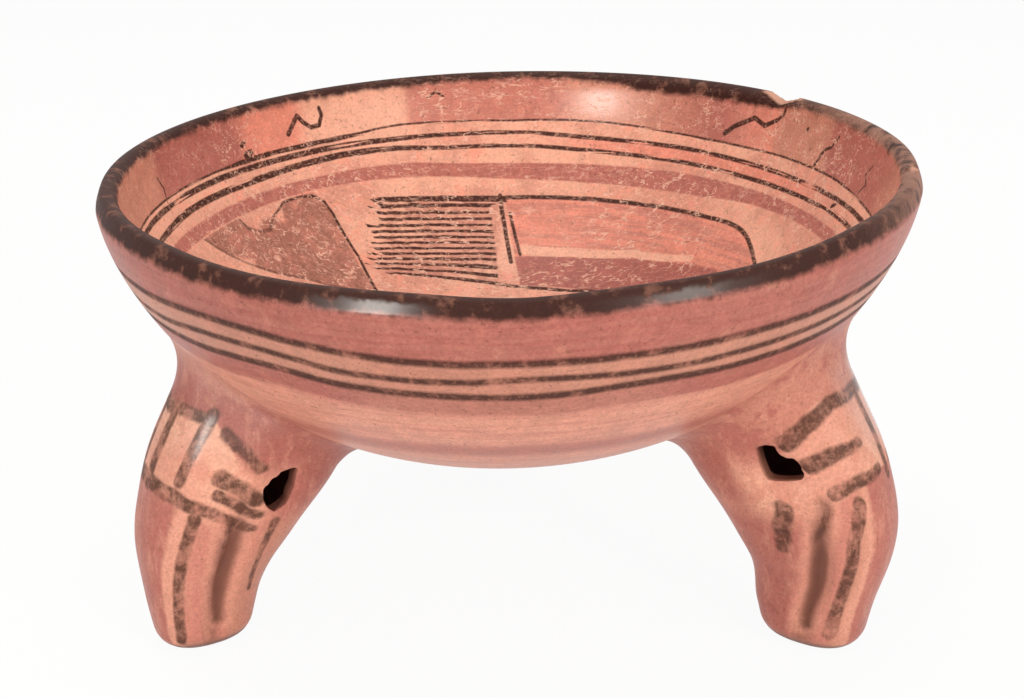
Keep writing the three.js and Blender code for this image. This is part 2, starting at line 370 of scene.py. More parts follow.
curve = [worn_corner(point) for point in outer_curve + lip_curve + inner_curve[::-1]]
print("bowl curve:", len(curve), "points")

# %% [markdown]
# Paint follows the wall, so each point of the bowl remembers how far it lies from the crest of
# the lip, counted along the wall: below zero outside, above zero inside. A mesh attribute
# carries such a number to the material. It is found with a search tree over the curve, so it
# is right whatever order the spin leaves the points in.

# %% Spin the bowl
bowl_sides = 288


def spin_round(points, sides, merge=0.0001, closed=False):
    """A mesh made by turning a chain of points, or a closed loop, round the upright axis."""
    shape = bmesh.new()
    chain = [shape.verts.new(point) for point in points]
    links = [shape.edges.new(pair) for pair in zip(chain, chain[1:] + chain[:closed])]
    bmesh.ops.spin(shape, geom=chain + links, cent=(0, 0, 0), axis=(0, 0, 1), angle=2 * pi,
                   steps=sides, use_merge=True, use_duplicate=False)
    bmesh.ops.remove_doubles(shape, verts=shape.verts[:], dist=merge)
    return shape


bowl = spin_round([(point.x, 0, point.y) for point in curve], bowl_sides, 0.001)
bmesh.ops.recalc_face_normals(bowl, faces=bowl.faces[:])

walked = [0.0]
for before, after in zip(curve, curve[1:]):
    walked.append(walked[-1] + (after - before).length)
crest = walked[wall_rows + lip_rows // 2]
finder = kdtree.KDTree(len(curve))
for index, point in enumerate(curve):
    finder.insert((point.x, point.y, 0), index)
finder.balance()
from_lip = bowl.verts.layers.float.new("from_lip")
broken = bowl.verts.layers.float.new("broken")
for vert in bowl.verts:
    _, index, _ = finder.find((hypot(vert.co.x, vert.co.y), vert.co.z, 0))
    vert[from_lip] = walked[index] - crest
print("bowl:", len(bowl.faces), "faces before the chips")

# %% [markdown]
# Two places of the lip are broken. A cutter could bite them out, but a cut leaves flat facets.
# Here the mesh is made finer around each break, and every point that stands above the break's
# uneven floor is pressed down to it, so the fracture gets its own grain. The depth is given by
# a few steps along the rim, read from the photograph: a sharp nick with one long shoulder.

# %% Break the lip
deep_nick = [(-8, 0), (-6, 0.5), (-4, 1.3), (-1.5, 2.4), (-0.3, 3.1), (0.8, 2.9),
             (3, 2.2), (6, 1.0), (9, 0.3), (11, 0)]
worn_nick = [(-6.5, 0), (-4, 0.25), (-1.4, 0.35), (-0.4, 1.1), (0.5, 1.0), (1.4, 0.4),
             (4.5, 0.2), (6.5, 0)]
break_reach = 11.5
lip_reach = 9
# Over this height above the broken floor a face counts as freshly broken
break_edge = 0.25


def depth_along(steps, place):
    """The depth between the two steps that a place lies between."""
    for (here, depth), (there, deeper) in zip(steps, steps[1:]):
        if here <= place <= there:
            return depth + (deeper - depth) * (place - here) / (there - here)
    return 0


def break_lip(azimuth, steps, inward_slope):
    """Refine the lip around a direction, then press it down to the broken floor."""
    def along(co):
        return (azimuth - degrees(atan2(co.x, -co.y))) * pi / 180 * rim_radius
    near = [edge for edge in bowl.edges
            if all(abs(along(v.co)) < break_reach + 1 and abs(v[from_lip]) < lip_reach for v in edge.verts)]
    bmesh.ops.subdivide_edges(bowl, edges=near, cuts=3, use_grid_fill=True)
    for vert in bowl.verts:
        place = along(vert.co)
        if abs(place) > break_reach or abs(vert[from_lip]) > lip_reach:
            continue
        depth = depth_along(steps, place)
        if depth == 0:
            continue
        inwards = rim_radius - lip_radius - hypot(vert.co.x, vert.co.y)
        rough = 0.35 * noise.noise(vert.co * 0.9) + 0.2 * noise.noise(vert.co * 2.3)
        floor_height = rim_height - depth - inward_slope * inwards + rough * min(depth, 1)
        if vert.co.z > floor_height:
            vert[broken] = min((vert.co.z - floor_height) / break_edge, 1)
            vert.co.z = floor_height


break_lip(127.6, deep_nick, 0.25)
break_lip(78, worn_nick, 0.05)
print("bowl:", len(bowl.faces), "faces after the chips")

# %% [markdown]
# A hand-built bowl is never truly round. A slow wander, always inwards so that the bowl keeps
# its overall size, takes the machine look off the outline. The rim sags a little at the front,
# most of all in its very middle, as the photograph shows. Then the whole rim is tipped: the pot
# stands a little out of level, so every point rises with its distance to the right.

# %% Hand-made unevenness
def smooth_share(value, low, high):
    """How far a value has come from low to high, with a soft start and end."""
    share = min(max((value - low) / (high - low), 0), 1)
    return share * share * (3 - 2 * share)


def bell(off):
    """A bell curve: one in its middle and a third at an offset of one."""
    return 2.718 ** (-off ** 2)


def front_sag(vert):
    """How far the rim has sunk at one place of the bowl."""
    azimuth = degrees(atan2(vert.co.x, -vert.co.y))
    wide = 1.15 * smooth_share(cos(radians(azimuth)), 0.6, 0.9)
    return (wide + bell((azimuth - 1) / 9)) * smooth_share(abs(vert[from_lip]), 16, 4)


def piece_of(name, shape):
    """A mesh object from a shape, still in millimetres."""
    mesh = bpy.data.meshes.new(name)
    shape.to_mesh(mesh)
    shape.free()
    return show(name, mesh)


def bring_to_metres(piece, smooth_angle=40, turn=Matrix.Identity(4)):
    """Turn a piece to its place, scale it to metres and smooth all but its creases."""
    piece.data.transform(Matrix.Scale(millimetre, 4) @ turn)
    piece.data.shade_smooth()
    piece.data.set_sharp_from_angle(angle=radians(smooth_angle))
    return piece


for vert in bowl.verts:
    spread = hypot(vert.co.x, vert.co.y) / rim_radius
    slow = noise.noise(vert.co / 46)
    quick = noise.noise(vert.co / 14 + Vector((7, 3, 1)))
    inwards = (0.35 * (slow + 1) / 2 + 0.12 * (quick + 1) / 2) * spread
    vert.co.x *= 1 - inwards / rim_radius
    vert.co.y *= 1 - inwards / rim_radius
    vert.co.z -= 0.25 * (slow + 1) / 2 * spread ** 6
    vert.co.z += rim_slope * vert.co.x - front_sag(vert)
bowl_piece = bring_to_metres(piece_of("painted_bowl", bowl))
print("bowl:", len(bowl_piece.data.polygons), "faces")

# %% [markdown]
# A leg is a hollow form, thick at the shoulder and narrow at the foot. Its side view is a
# short table of heights with the outer and inner face, and its section is a rounded square
# that is flatter across than it is deep. All three legs share it; each has its own direction,
# lean and wear. The numbers are those of the solids' source again.

# %% The legs' sizes
leg_reach = rim_radius + 1.7
leg_top = rim_height - 17.6
leg_wall = 4.5
leg_outline = [
    (0, 0.964, 0.762),
    (0.042, 0.977, 0.757),
    (0.153, 0.991, 0.721),
    (0.305, 1, 0.613),
    (0.458, 0.976, 0.499),
    (0.585, 0.934, 0.442),
    (0.721, 0.865, 0.375),
    (0.848, 0.793, 0.3),
    (1, 0.72, 0.24),
]
leg_flatness = 0.6
leg_thickening = 2
section_power = 2.4
foot_round = 5
splay_start = 8
splay_end = 36
heel_full = 9
heel_end = 22
chamber_floor = underside_height - 13
chamber_round = 4
vent_depth = 9
vent_height = 10
vent_inset = 28.7
vent_centre_height = underside_height + 7
vent_tension = 0.32
groove_top = 38
groove_foot = 7
groove_taper = [0.25, 0.8, 1, 0.95, 0.8, 0.6, 0.35]
luting_spread = 8

leg_facts = {
    "front_left": {
        "azimuth": -59.9, "shift": 0, "splay": 0, "heel": 1.4, "groove": (0.13, -0.05),
        "worn_side": 1, "vent_middle": (-0.4, -0.8),
        "vent_corners": [(-1, 1), (-0.42, -0.68), (0.33, -1.04), (0.84, -0.54), (0.98, 0.34), (0.02, 1.02)],
    },
    "front_right": {
        "azimuth": 58.6, "shift": 0, "splay": 3.9, "heel": 3.2, "groove": (0.42, 0.1),
        "worn_side": -1, "vent_middle": (0.98, 1),
        "vent_corners": [(-1.24, 0.64), (-0.58, -0.74), (1.11, -0.52), (1.29, -0.12),
                         (0.84, 0.44), (0.13, 0.52), (-0.42, 0.94)],
    },
    "back": {"azimuth": 180, "shift": -2.2, "splay": 0, "heel": 2, "groove": (0.2, 0), "worn_side": 0},
}


def outline_at(share, column):
    """A smooth curve through one column of the leg's outline."""
    last = len(leg_outline) - 1
    row = 0
    while row < last - 1 and share > leg_outline[row + 1][0]:
        row += 1

    def slope(at):
        start = leg_outline[max(at - 1, 0)]
        end = leg_outline[min(at + 1, last)]
        return (end[column] - start[column]) / (end[0] - start[0])

    width = leg_outline[row + 1][0] - leg_outline[row][0]
    t = (share - leg_outline[row][0]) / width
    start = leg_outline[row][column] * (1 + 2 * t) * (1 - t) ** 2
    end = leg_outline[row + 1][column] * (3 - 2 * t) * t ** 2
    bend = width * (slope(row) * t * (1 - t) ** 2 - slope(row + 1) * t ** 2 * (1 - t))
    return start + end + bend


def section_at(leg, height, inset=0, floor_height=0, rounding=foot_round):
    """Middle, half depth and half thickness of a leg's section."""
    outer = leg_reach * outline_at(height / leg_top, 1)
    heel = leg["heel"] * (1 - smooth_share(height, heel_full, heel_end))
    inner = leg_reach * outline_at(height / leg_top, 2) - heel
    lean = smooth_share(height, splay_start, splay_end) * leg["splay"]
    depth = (outer - inner) / 2
    from_end = max(rounding - (height - floor_height), 0)
    drawn_in = rounding - sqrt(max(rounding ** 2 - from_end ** 2, 0))
    middle = (outer + inner) / 2 + leg["shift"] + lean
    thickness = depth * leg_flatness + leg_thickening
    return middle, depth - inset - drawn_in, thickness - inset - drawn_in


def powered(value):
    """Turns a circle's cosine or sine into the rounded square's."""
    return (1 if value >= 0 else -1) * abs(value) ** (2 / section_power)


def skin_point(leg, angle, height, inset=0, floor_height=0, rounding=foot_round):
    """A point of the leg's skin in its own frame: X runs out from the bowl, Y across."""
    middle, depth, thickness = section_at(leg, height, inset, floor_height, rounding)
    return Vector((middle + depth * powered(cos(angle)), thickness * powered(sin(angle)), height))


def placed(leg, point):
    """A point of the leg's own frame, turned to its place under the bowl."""
    return Matrix.Rotation(radians(leg["azimuth"]) - pi / 2, 3, "Z") @ point


def side_of(vert):
    """Which side of the spun cup or ring a point lies on."""
    return round(atan2(vert.co.y, vert.co.x) / (2 * pi) * leg_sides) % leg_sides


def corner_height(leg, angle, inset=0):
    """Where one line up the leg's skin, or up the chamber's wall, meets the bowl."""
    low, high = chamber_floor, leg_top
    for _ in range(26):
        height = (low + high) / 2
        spot = placed(leg, skin_point(leg, angle, height, inset, 0, foot_round))
        if spot.z < underside_at(spot.x, spot.y):
            low = height
        else:
            high = height
    return low


leg_sides = 144
for leg in leg_facts.values():
    angles = [side / leg_sides * 2 * pi for side in range(leg_sides)]
    leg["corners"] = [corner_height(leg, angle) for angle in angles]
    leg["chamber_corners"] = [corner_height(leg, angle, leg_wall) for angle in angles]
    print("leg meets the bowl at", round(min(leg["corners"]), 1), "to", round(max(leg["corners"]), 1))

# %% [markdown]
# Each leg is spun as a plain closed cup, then every point is moved to its place on the leg. A
# spin gives a clean grid of rows and sides, which a formula can shape; a sculpted lump would
# have to be matched to the solid by eye. Rows run from the middle of the sole up the skin,
# over the top that hides in the bowl's wall, and down the inside of the rattle chamber.

# %% Spin and shape a leg
skin_rows = 104
round_rows = 8
chamber_rows = 40
top_sink = 2


def leg_rows():
    """What each row of the cup stands for: a part of the leg and a share along it."""
    rows = [("sole", 0), ("sole", 0.35), ("sole", 0.7)]
    rows += [("foot", row / round_rows) for row in range(round_rows)]
    rows += [("skin", row / skin_rows) for row in range(skin_rows + 1)]
    rows += [("chamber", 1 - row / chamber_rows) for row in range(chamber_rows + 1)]
    rows += [("chamber foot", 1 - row / round_rows) for row in range(1, round_rows + 1)]
    rows += [("chamber floor", 0.6), ("chamber floor", 0)]
    return rows


def leg_place(leg, part, share, side):
    """Where a row and a side of the cup lie on the leg."""
    angle = side / leg_sides * 2 * pi
    top = leg["corners"][side] + top_sink
    if part == "sole":
        edge = skin_point(leg, angle, 0.0)
        middle = section_at(leg, 0.0)[0]
        return Vector((middle + (edge.x - middle) * share, edge.y * share, 0))
    rounded = 1 - cos(share * pi / 2)
    if part == "foot":
        return skin_point(leg, angle, foot_round * rounded)
    if part == "skin":
        return skin_point(leg, angle, foot_round + (top - foot_round) * share)
    inside = (leg_wall, chamber_floor, chamber_round)
    if part == "chamber":
        low = chamber_floor + chamber_round
        top = leg["chamber_corners"][side] + top_sink / 2
        return skin_point(leg, angle, low + (top - low) * share, *inside)
    if part == "chamber foot":
        return skin_point(leg, angle, chamber_floor + chamber_round * rounded, *inside)
    edge = skin_point(leg, angle, chamber_floor, *inside)
    middle = section_at(leg, chamber_floor, *inside)[0]
    return Vector((middle + (edge.x - middle) * share, edge.y * share, chamber_floor))


def vent_middle_of(leg, side):
    """Middle of the vent in one flank, as [out from the bowl, up]."""
    across, high = leg["vent_middle"] if side == leg["worn_side"] else (0, 0)
    return Vector((
        leg_reach - vent_inset + leg["shift"] + leg["splay"] + vent_depth / 2 * across,
        vent_centre_height + vent_height / 2 * high,
    ))


def vent_outline(leg, side, count=48):
    """A closed smooth outline of the vent through its worn corners, or a plain oval."""
    middle = vent_middle_of(leg, side)
    if side != leg["worn_side"]:
        shares = [(cos(i / count * 2 * pi), sin(i / count * 2 * pi)) for i in range(count)]
    else:
        corners = [Vector(corner) for corner in leg["vent_corners"]]
        total = len(corners)
        shares = []
        for i in range(count):
            at = i / count * total
            k = int(at)
            t = at - k
            a, b, c, d = (corners[(k + step) % total] for step in (-1, 0, 1, 2))
            start = (c - a) * vent_tension
            end = (d - b) * vent_tension
            shares.append(tuple(b * (2 * t**3 - 3 * t**2 + 1) + start * (t**3 - 2 * t**2 + t)
                                + c * (3 * t**2 - 2 * t**3) + end * (t**3 - t**2)))
    return [middle + Vector((vent_depth / 2 * x, vent_height / 2 * y)) for x, y in shares]


def groove_press(leg, point):
    """How far a fingertip has pressed in, or pushed up, one point of a flank."""
    if not groove_foot - 3 < point.z < groove_top + 2:
        return 0
    along = min(max((groove_top - point.z) / (groove_top - groove_foot), 0), 1)
    at = along * (len(groove_taper) - 1)
    k = min(int(at), len(groove_taper) - 2)
    size = groove_taper[k] + (groove_taper[k + 1] - groove_taper[k]) * (at - k)
    fade = min(max(min(point.z - groove_foot + 3, groove_top + 2 - point.z) / 4, 0), 1)
    middle, depth, _ = section_at(leg, point.z)
    top_share, foot_share = leg["groove"]
    off = point.x - (middle + depth * (top_share + (foot_share - top_share) * along))
    width = 2.7 * (0.5 + 0.5 * size)
    valley = 2.3 * size * bell(off / width)
    ridge = 0.45 * size * bell((abs(off) - 2 * width) / width)
    return (valley - ridge) * fade


def spin_leg(leg):
    """The cup, spun and moved point by point onto the leg, in the leg's own frame."""
    rows = leg_rows()
    points = []
    for index, (part, share) in enumerate(rows):
        pole = share == 0 and part in ("sole", "chamber floor")
        inside = part.startswith("chamber")
        points.append((0 if pole else 10 - 3 * inside, 0, index))
    cup = spin_round(points, leg_sides)
    outlines = {side: vent_outline(leg, side) for side in (1, -1)}
    for vert in cup.verts:
        part, share = rows[round(vert.co.z)]
        point = leg_place(leg, part, share, side_of(vert))
        if part in ("foot", "skin"):
            flank = 1 if point.y > 0 else -1
            point.y -= flank * groove_press(leg, point)
            # The clay round a vent was dragged inwards as the hole was pierced
            spot = Vector((point.x, point.z))
            if (spot - vent_middle_of(leg, flank)).length < 11 and abs(point.y) > 5:
                near = min((spot - corner).length for corner in outlines[flank])
                point.y -= flank * 0.9 * max(1 - near / 2.2, 0) ** 2
            # Uneven modelling by hand, kept inwards
            swell = 0.5 * (noise.noise(point / 11 + Vector((leg["azimuth"], 0, 0))) + 1) / 2
            middle = section_at(leg, point.z)[0]
            point.x += (middle - point.x) * swell / 20
            point.y -= point.y * swell / 14
        vert.co = point
    bmesh.ops.recalc_face_normals(cup, faces=cup.faces[:])
    return cup


def cut_vent(cup, leg, side):
    """Pierce one flank with a prism of the vent's outline."""
    outline = vent_outline(leg, side)
    cutter = bmesh.new()
    bmesh.ops.create_circle(cutter, cap_ends=True, segments=len(outline), radius=1)
    cutter.verts.ensure_lookup_table()
    start = side * 4
    for vert, corner in zip(cutter.verts, outline):
        rough = 0.22 * noise.noise(Vector((corner.x, corner.y, 5 * side)) * 0.8)
        vert.co = Vector((corner.x + rough, start, corner.y + rough))
    grown = bmesh.ops.extrude_face_region(cutter, geom=cutter.faces[:])
    moved = [item for item in grown["geom"] if isinstance(item, bmesh.types.BMVert)]
    bmesh.ops.translate(cutter, verts=moved, vec=(0, side * 24, 0))
    bmesh.ops.recalc_face_normals(cutter, faces=cutter.faces[:])
    prism = piece_of("vent cutter", cutter)
    cut = cup.modifiers.new("vent", "BOOLEAN")
    cut.operation = "DIFFERENCE"
    cut.solver = "EXACT"
    cut.object = prism
    with bpy.context.temp_override(object=cup, active_object=cup):
        bpy.ops.object.modifier_apply(modifier=cut.name)
    bpy.data.objects.remove(prism)


def mark_chart(leg, mesh):
    """Mark each point with its angle round the leg, its height and its depth in the wall."""
    chart = mesh.attributes.new("leg_chart", "FLOAT_VECTOR", "POINT")
    values = []
    for vert in mesh.vertices:
        height = min(max(vert.co.z, 0.0), leg_top)
        middle, depth, thickness = section_at(leg, max(height, foot_round))
        across = (vert.co.x - middle) / depth
        aside = vert.co.y / thickness
        reach = (abs(across) ** section_power + abs(aside) ** section_power) ** (1 / section_power)
        half = section_power / 2
        angle = atan2(abs(aside) ** half, abs(across) ** half * (1 if across > 0 else -1))
        facing = 1 if aside * (leg["worn_side"] or 1) > 0 else -1
        values += [degrees(angle) * facing, vert.co.z, reach]
    chart.data.foreach_set("vector", values)


def set_in_place(leg, piece):
    """Chart a piece that was built in a leg's own frame, and bring it under the bowl."""
    mark_chart(leg, piece.data)
    bring_to_metres(piece, 46, Matrix.Rotation(radians(leg["azimuth"]) - pi / 2, 4, "Z"))
    print(piece.name, len(piece.data.polygons), "faces")
    return piece


leg_pieces = {}
for name, leg in leg_facts.items():
    piece = piece_of(f"rattle_leg_{name}", spin_leg(leg))
    for side in (1, -1):
        cut_vent(piece, leg, side)
    leg_pieces[name] = set_in_place(leg, piece)

# %% [markdown]
# The luting is the roll of soft clay that was smoothed into the corner between leg and bowl,
# so that no joint shows. It is a ring with a hollow curve on its outside: from a feather edge
# on the leg, through the corner, to a feather edge on the bowl. Both edges dive a hair under
# the neighbour's skin, which hides the joint as a wet thumb would.

# %% Luting
luting_steps = 14
ring_middle = 10
ring_thickness = 2


def spin_luting(leg):
    """A ring spun from a closed loop, then moved point by point into the corner."""
    count = luting_steps + 4
    turns = [index / count * 2 * pi for index in range(count)]
    loop = [(ring_middle + ring_thickness * cos(turn), 0, ring_thickness * sin(turn)) for turn in turns]
    ring = spin_round(loop, leg_sides, closed=True)
    for vert in ring.verts:
        side = side_of(vert)
        turn = atan2(vert.co.z, hypot(vert.co.x, vert.co.y) - ring_middle)
        index = round(turn / (2 * pi) * count) % count
        angle = side / leg_sides * 2 * pi
        height = leg["corners"][side]
        corner = skin_point(leg, angle, height)
        _, depth, thickness = section_at(leg, height)
        away = Vector((
            powered(cos(angle)) ** 2 * (1 if cos(angle) >= 0 else -1) / depth,
            powered(sin(angle)) ** 2 * (1 if sin(angle) >= 0 else -1) / thickness,
            0,
        )).normalized()

        def onto_bowl(point):
            spot = placed(leg, point)
            return Vector((point.x, point.y, underside_at(spot.x, spot.y)))

        leg_edge = skin_point(leg, angle, height - luting_spread)
        level = onto_bowl(corner + away * luting_spread)
        steepness = (level.z - corner.z) / luting_spread
        bowl_edge = onto_bowl(corner + away * luting_spread / hypot(1, steepness))
        if index <= luting_steps:
            t = index / luting_steps
            lifted = corner + away * 0.35 - Vector((0, 0, 0.35))
            point = leg_edge * (1 - t) ** 2 + lifted * 2 * t * (1 - t) + bowl_edge * t ** 2
            point -= away * 0.3 * (1 - t) ** 3
            point.z += 0.5 * t ** 3
        elif index == luting_steps + 1:
            point = bowl_edge + Vector((0, 0, 2.2))
        elif index == luting_steps + 2:
            point = corner - away * 2 + Vector((0, 0, 2))
        else:
            point = leg_edge - away * 2
        vert.co = point
    bmesh.ops.recalc_face_normals(ring, faces=ring.faces[:])
    return ring


luting_pieces = {name: set_in_place(leg, piece_of(f"smoothed_luting_{name}", spin_luting(leg)))
                 for name, leg in leg_facts.items()}

# %% [markdown]
# The pellets are balls of fired clay rolled between two palms, and one shows through the right
# leg's vent. A ball with low swells and small dents looks rolled; it never grows past the
# solid's own ball, so it stays clear of the chamber.

# %% Rattle pellets
pellet_pieces = {}
for name in leg_facts:
    for place in ("outer", "inner"):
        node = f"pellet_{name}_{place}"
        low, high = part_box(node)
        middle = (low + high) / 2 / millimetre
        radius = min(high - low) / 2 / millimetre
        ball = bmesh.new()
        bmesh.ops.create_icosphere(ball, subdivisions=4, radius=radius)
        for vert in ball.verts:
            seed = Vector((len(name), len(place), 0))
            swell = noise.noise(vert.co / 4 + seed) * 0.5 + noise.noise(vert.co / 1.3 + seed) * 0.2
            vert.co *= 0.985 - 0.05 * (swell + 0.7) / 1.4
            vert.co += middle
        pellet_pieces[node] = bring_to_metres(piece_of(f"clay_{node}", ball))
print("pellets:", len(pellet_pieces))

# %% [markdown]
# Fired slip has many small effects at once, and several materials share them. Each is a node
# group with named inputs, built once. The first pushes a place about, so that every painted
# edge wanders like a brush held in the hand.

# %% Group: hand-drawn wander
def flows(sockets):
    """The values of a node's outputs by name."""
    return {socket.name: Flow(socket) for socket in sockets}


def open_group(title, inputs, outputs, kind="NodeSocketFloat"):
    """A new group as the tree at work, the values it is given and the sockets of its results."""
    group = bpy.data.node_groups.new(title, "ShaderNodeTree")
    for name, value in inputs.items():
        given_kind = "NodeSocketVector" if isinstance(value, tuple) else "NodeSocketFloat"
        socket = group.interface.new_socket(name=name, in_out="INPUT", socket_type=given_kind)
        socket.default_value = value
    for name in outputs:
        group.interface.new_socket(name=name, in_out="OUTPUT", socket_type=kind)
    work.tree = group
    return group, flows(put("NodeGroupInput").outputs), put("NodeGroupOutput").inputs


def use(group, **inputs):
    """The results of a group; its inputs are named with underscores for spaces."""
    placed_group = put("ShaderNodeGroup", node_tree=group)
    for name, value in inputs.items():
        feed(placed_group.inputs[name.replace("_", " ")], value)
    return flows(placed_group.outputs)


def grain(place, size, detail=2.0, roughness=0.5, out=0):
    """Noise whose lumps are about this many millimetres."""
    return flow("ShaderNodeTexNoise", place, None, 1 / size, detail, roughness, out=out)


wander, given, result = open_group("hand wander", {"Place": (0, 0, 0), "Wander": 0.4, "Lumps": 5.0},
                                   ["Place"], "NodeSocketVector")
cloud = grain(given["Place"], given["Lumps"], 3.0, 0.6, out="Color")
centred = vector_math("SUBTRACT", cloud, (0.5, 0.5, 0.5))
push = vector_math("SCALE", centred, None, None, given["Wander"] * 2.0)
feed(result["Place"], vector_math("ADD", given["Place"], push))

# %% [markdown]
# Lines and bars were laid on with a small brush. A stroke is the set of points nearer to a
# short line than half the brush's width, and that width may change from one end to the other.
# The group works this out for one straight stroke; bends are strokes end to end.

# %% Group: brush stroke
stroke, given, result = open_group(
    "brush stroke",
    {"Place": (0, 0, 0), "Start": (0, 0, 0), "End": (1, 0, 0),
     "Start width": 1.0, "End width": 1.0, "Edge": 0.2},
    ["Paint"])
off = vector_math("SUBTRACT", given["Place"], given["Start"])
run = vector_math("SUBTRACT", given["End"], given["Start"])
shadow, length = (vector_math("DOT_PRODUCT", vector, run, out="Value") for vector in (off, run))
along = held(shadow / length)
apart = vector_math("DISTANCE", off, vector_math("SCALE", run, None, None, along), out="Value")
width = flow("ShaderNodeMix", along, None, given["Start width"], given["End width"])
feed(result["Paint"], ramp_up(apart - width * 0.5, given["Edge"], given["Edge"] * -1.0))

# %% [markdown]
# Centuries in the ground leave their marks on everything: fine curling scratches and root
# marks that show pale clay, dirt in the grain, blotches, specks and places worn bare. One
# group puts them all out as masks, so each material can choose how strongly each shows and
# reuse the same ones for its relief. A scratch is a thin contour line of stretched noise,
# switched on and off along its way by a second noise.

# %% Group: age marks
def weighed(start, *parts):
    """A start plus some values, each times its weight."""
    for value, weight in parts:
        start = linear(value, weight, start)
    return start


aged, given, result = open_group(
    "age marks", {"Place": (0, 0, 0), "Scratching": 0.5, "Wear": 0.5},
    ["Scratches", "Grime", "Blotches", "Mottle", "Specks", "Worn", "Relief"])
place = given["Place"]
switches = split(grain(place, 3.8, 1.0, out="Color"), "ShaderNodeSeparateColor")
# Each set of scratches: turn, stretch, size and fineness
scratch_sets = [
    ((0.4, 0.2, 0.6), (0.12, 1, 1), 3.2, 0.75),
    ((0.1, 0.5, 1.7), (0.35, 1, 1), 1.9, 0.9),
    ((1.1, 0.3, 2.6), (0.3, 1, 1), 3.0, 0.9),
]
scratches = 0.0
for (turn, stretch, size, fineness), switch in zip(scratch_sets, switches):
    turned_place = flow("ShaderNodeMapping", place, None, turn, stretch)
    off_contour = abs(grain(turned_place, size, 2.0, 0.55) - 0.5)
    line = ramp_up(off_contour, 0.026 * fineness, 0.009 * fineness)
    scratches = larger(scratches, line * ramp_up(switch, 0.49, 0.56))
broad = grain(place, 24.0, 3.0, 0.55)
mottle = grain(place, 4.2, 4.0, 0.62)
fine = grain(place, 0.7, 3.0, 0.65)
scratches = scratches * linear(ramp_up(broad, 0.4, 0.58), 0.7, 0.3)
scratches = scratches * ramp_up(mottle, 0.38, 0.54, 0.4, 1.1)
scratches = held(scratches * given["Scratching"])
worn_level = linear(given["Wear"], -0.2, 0.76)
worn = ramp_up(weighed(mottle * 0.55, (fine, 0.45)), worn_level, worn_level + 0.04)
marks = {
    "Scratches": scratches,
    "Grime": ramp_up(weighed(mottle * 0.45, (fine, 0.55)), 0.35, 0.68),
    "Blotches": broad,
    "Mottle": mottle,
    "Specks": ramp_up(grain(place, 1.1, 2.0, 0.6), 0.37, 0.3),
    "Worn": worn,
    "Relief": weighed(mottle * 0.45, (fine, 0.2), (scratches, -0.35), (worn, -0.3)),
}
for name, value in marks.items():
    feed(result[name], value)
print("groups:", [group.name for group in bpy.data.node_groups])

# %% [markdown]
# The paints are few: a cream ground, a rosy red slip, a deeper red, an orange, and a dark brown
# that was black once. They were picked from the photograph, one plain patch each. The
# whole picture is warm, so even the cream leans to peach.

# %% Paints
cream_slip = colour_of(243, 182, 156)
peach_slip = colour_of(224, 158, 136)
red_slip = colour_of(184, 113, 101)
deep_red_slip = colour_of(172, 101, 91)
rose_slip = colour_of(206, 134, 118)
orange_slip = colour_of(232, 148, 127)
brown_slip = colour_of(168, 112, 96)
tan_slip = colour_of(206, 142, 121)
outer_red_slip = colour_of(178, 110, 98)
outer_tan_slip = colour_of(188, 128, 109)
dark_paint = colour_of(72, 42, 34)
faded_paint = colour_of(90, 57, 46)
# Painted shadow and painted shade for the legs' pressed groove
groove_shadow_colour = colour_of(96, 58, 47)
groove_shade = colour_of(150, 100, 85)
lip_paint = colour_of(62, 35, 29)
faded_lip = colour_of(112, 74, 62)
smoky_paint = colour_of(152, 110, 94)
bare_clay = colour_of(236, 190, 168)
ashy_clay = colour_of(196, 148, 128)
# Bare clay darkened by painted shade for the vent walls, then painted shade for the chamber's dark inside
vent_clay_and_shade = colour_of(120, 76, 63)
chamber_shade_paint = colour_of(56, 33, 28)


def layered(colour, *coats):
    """A colour with coats laid over it, each a share and a paint."""
    for share, paint in coats:
        colour = blend(share, colour, paint)
    return colour


def paint_over(colour, mask, paint, dryness, thin):
    """Lay a paint where its mask is, thinner where the brush ran dry."""
    return blend(held(mask * linear(thin, -dryness, 1.0)), colour, paint)


def ground_of(age, blotches, mottles, warmth):
    """The pale ground, which drifts between cream, peach and orange."""
    ground = blend(ramp_up(age["Blotches"], *blotches), cream_slip, peach_slip)
    return blend(ramp_up(age["Mottle"], *mottles) * warmth, ground, orange_slip)


def dirtied(colour, grime, lightest, darkest):
    """A colour made darker in the grain, where dirt has stayed."""
    grey = blend(grime, (darkest, darkest, darkest, 1), (lightest, lightest, lightest, 1))
    return blend(1.0, colour, grey, "MULTIPLY")


def strokes_over(place, runs, edge=0.22):
    """The joined mask of many strokes, each a run of points with a width at each end."""
    mask = 0.0
    for points, start_width, end_width in runs:
        steps = len(points) - 1
        for index in range(steps):
            first = start_width + (end_width - start_width) * index / steps
            second = start_width + (end_width - start_width) * (index + 1) / steps
            paint = use(stroke, Place=place, Start=(*points[index], 0), End=(*points[index + 1], 0),
                        Start_width=first, End_width=second, Edge=edge)["Paint"]
            mask = larger(mask, paint)
    return mask


def open_material(title, scratching, wear):
    """A new material as the tree at work, a place in millimetres, and the marks of age there."""
    material = bpy.data.materials.new(title)
    open_tree(material)
    metres = flow("ShaderNodeTexCoord", out="Object")
    place = flow("ShaderNodeMapping", metres, None, None, (1000, 1000, 1000))
    return material, place, use(aged, Place=place, Scratching=scratching, Wear=wear)


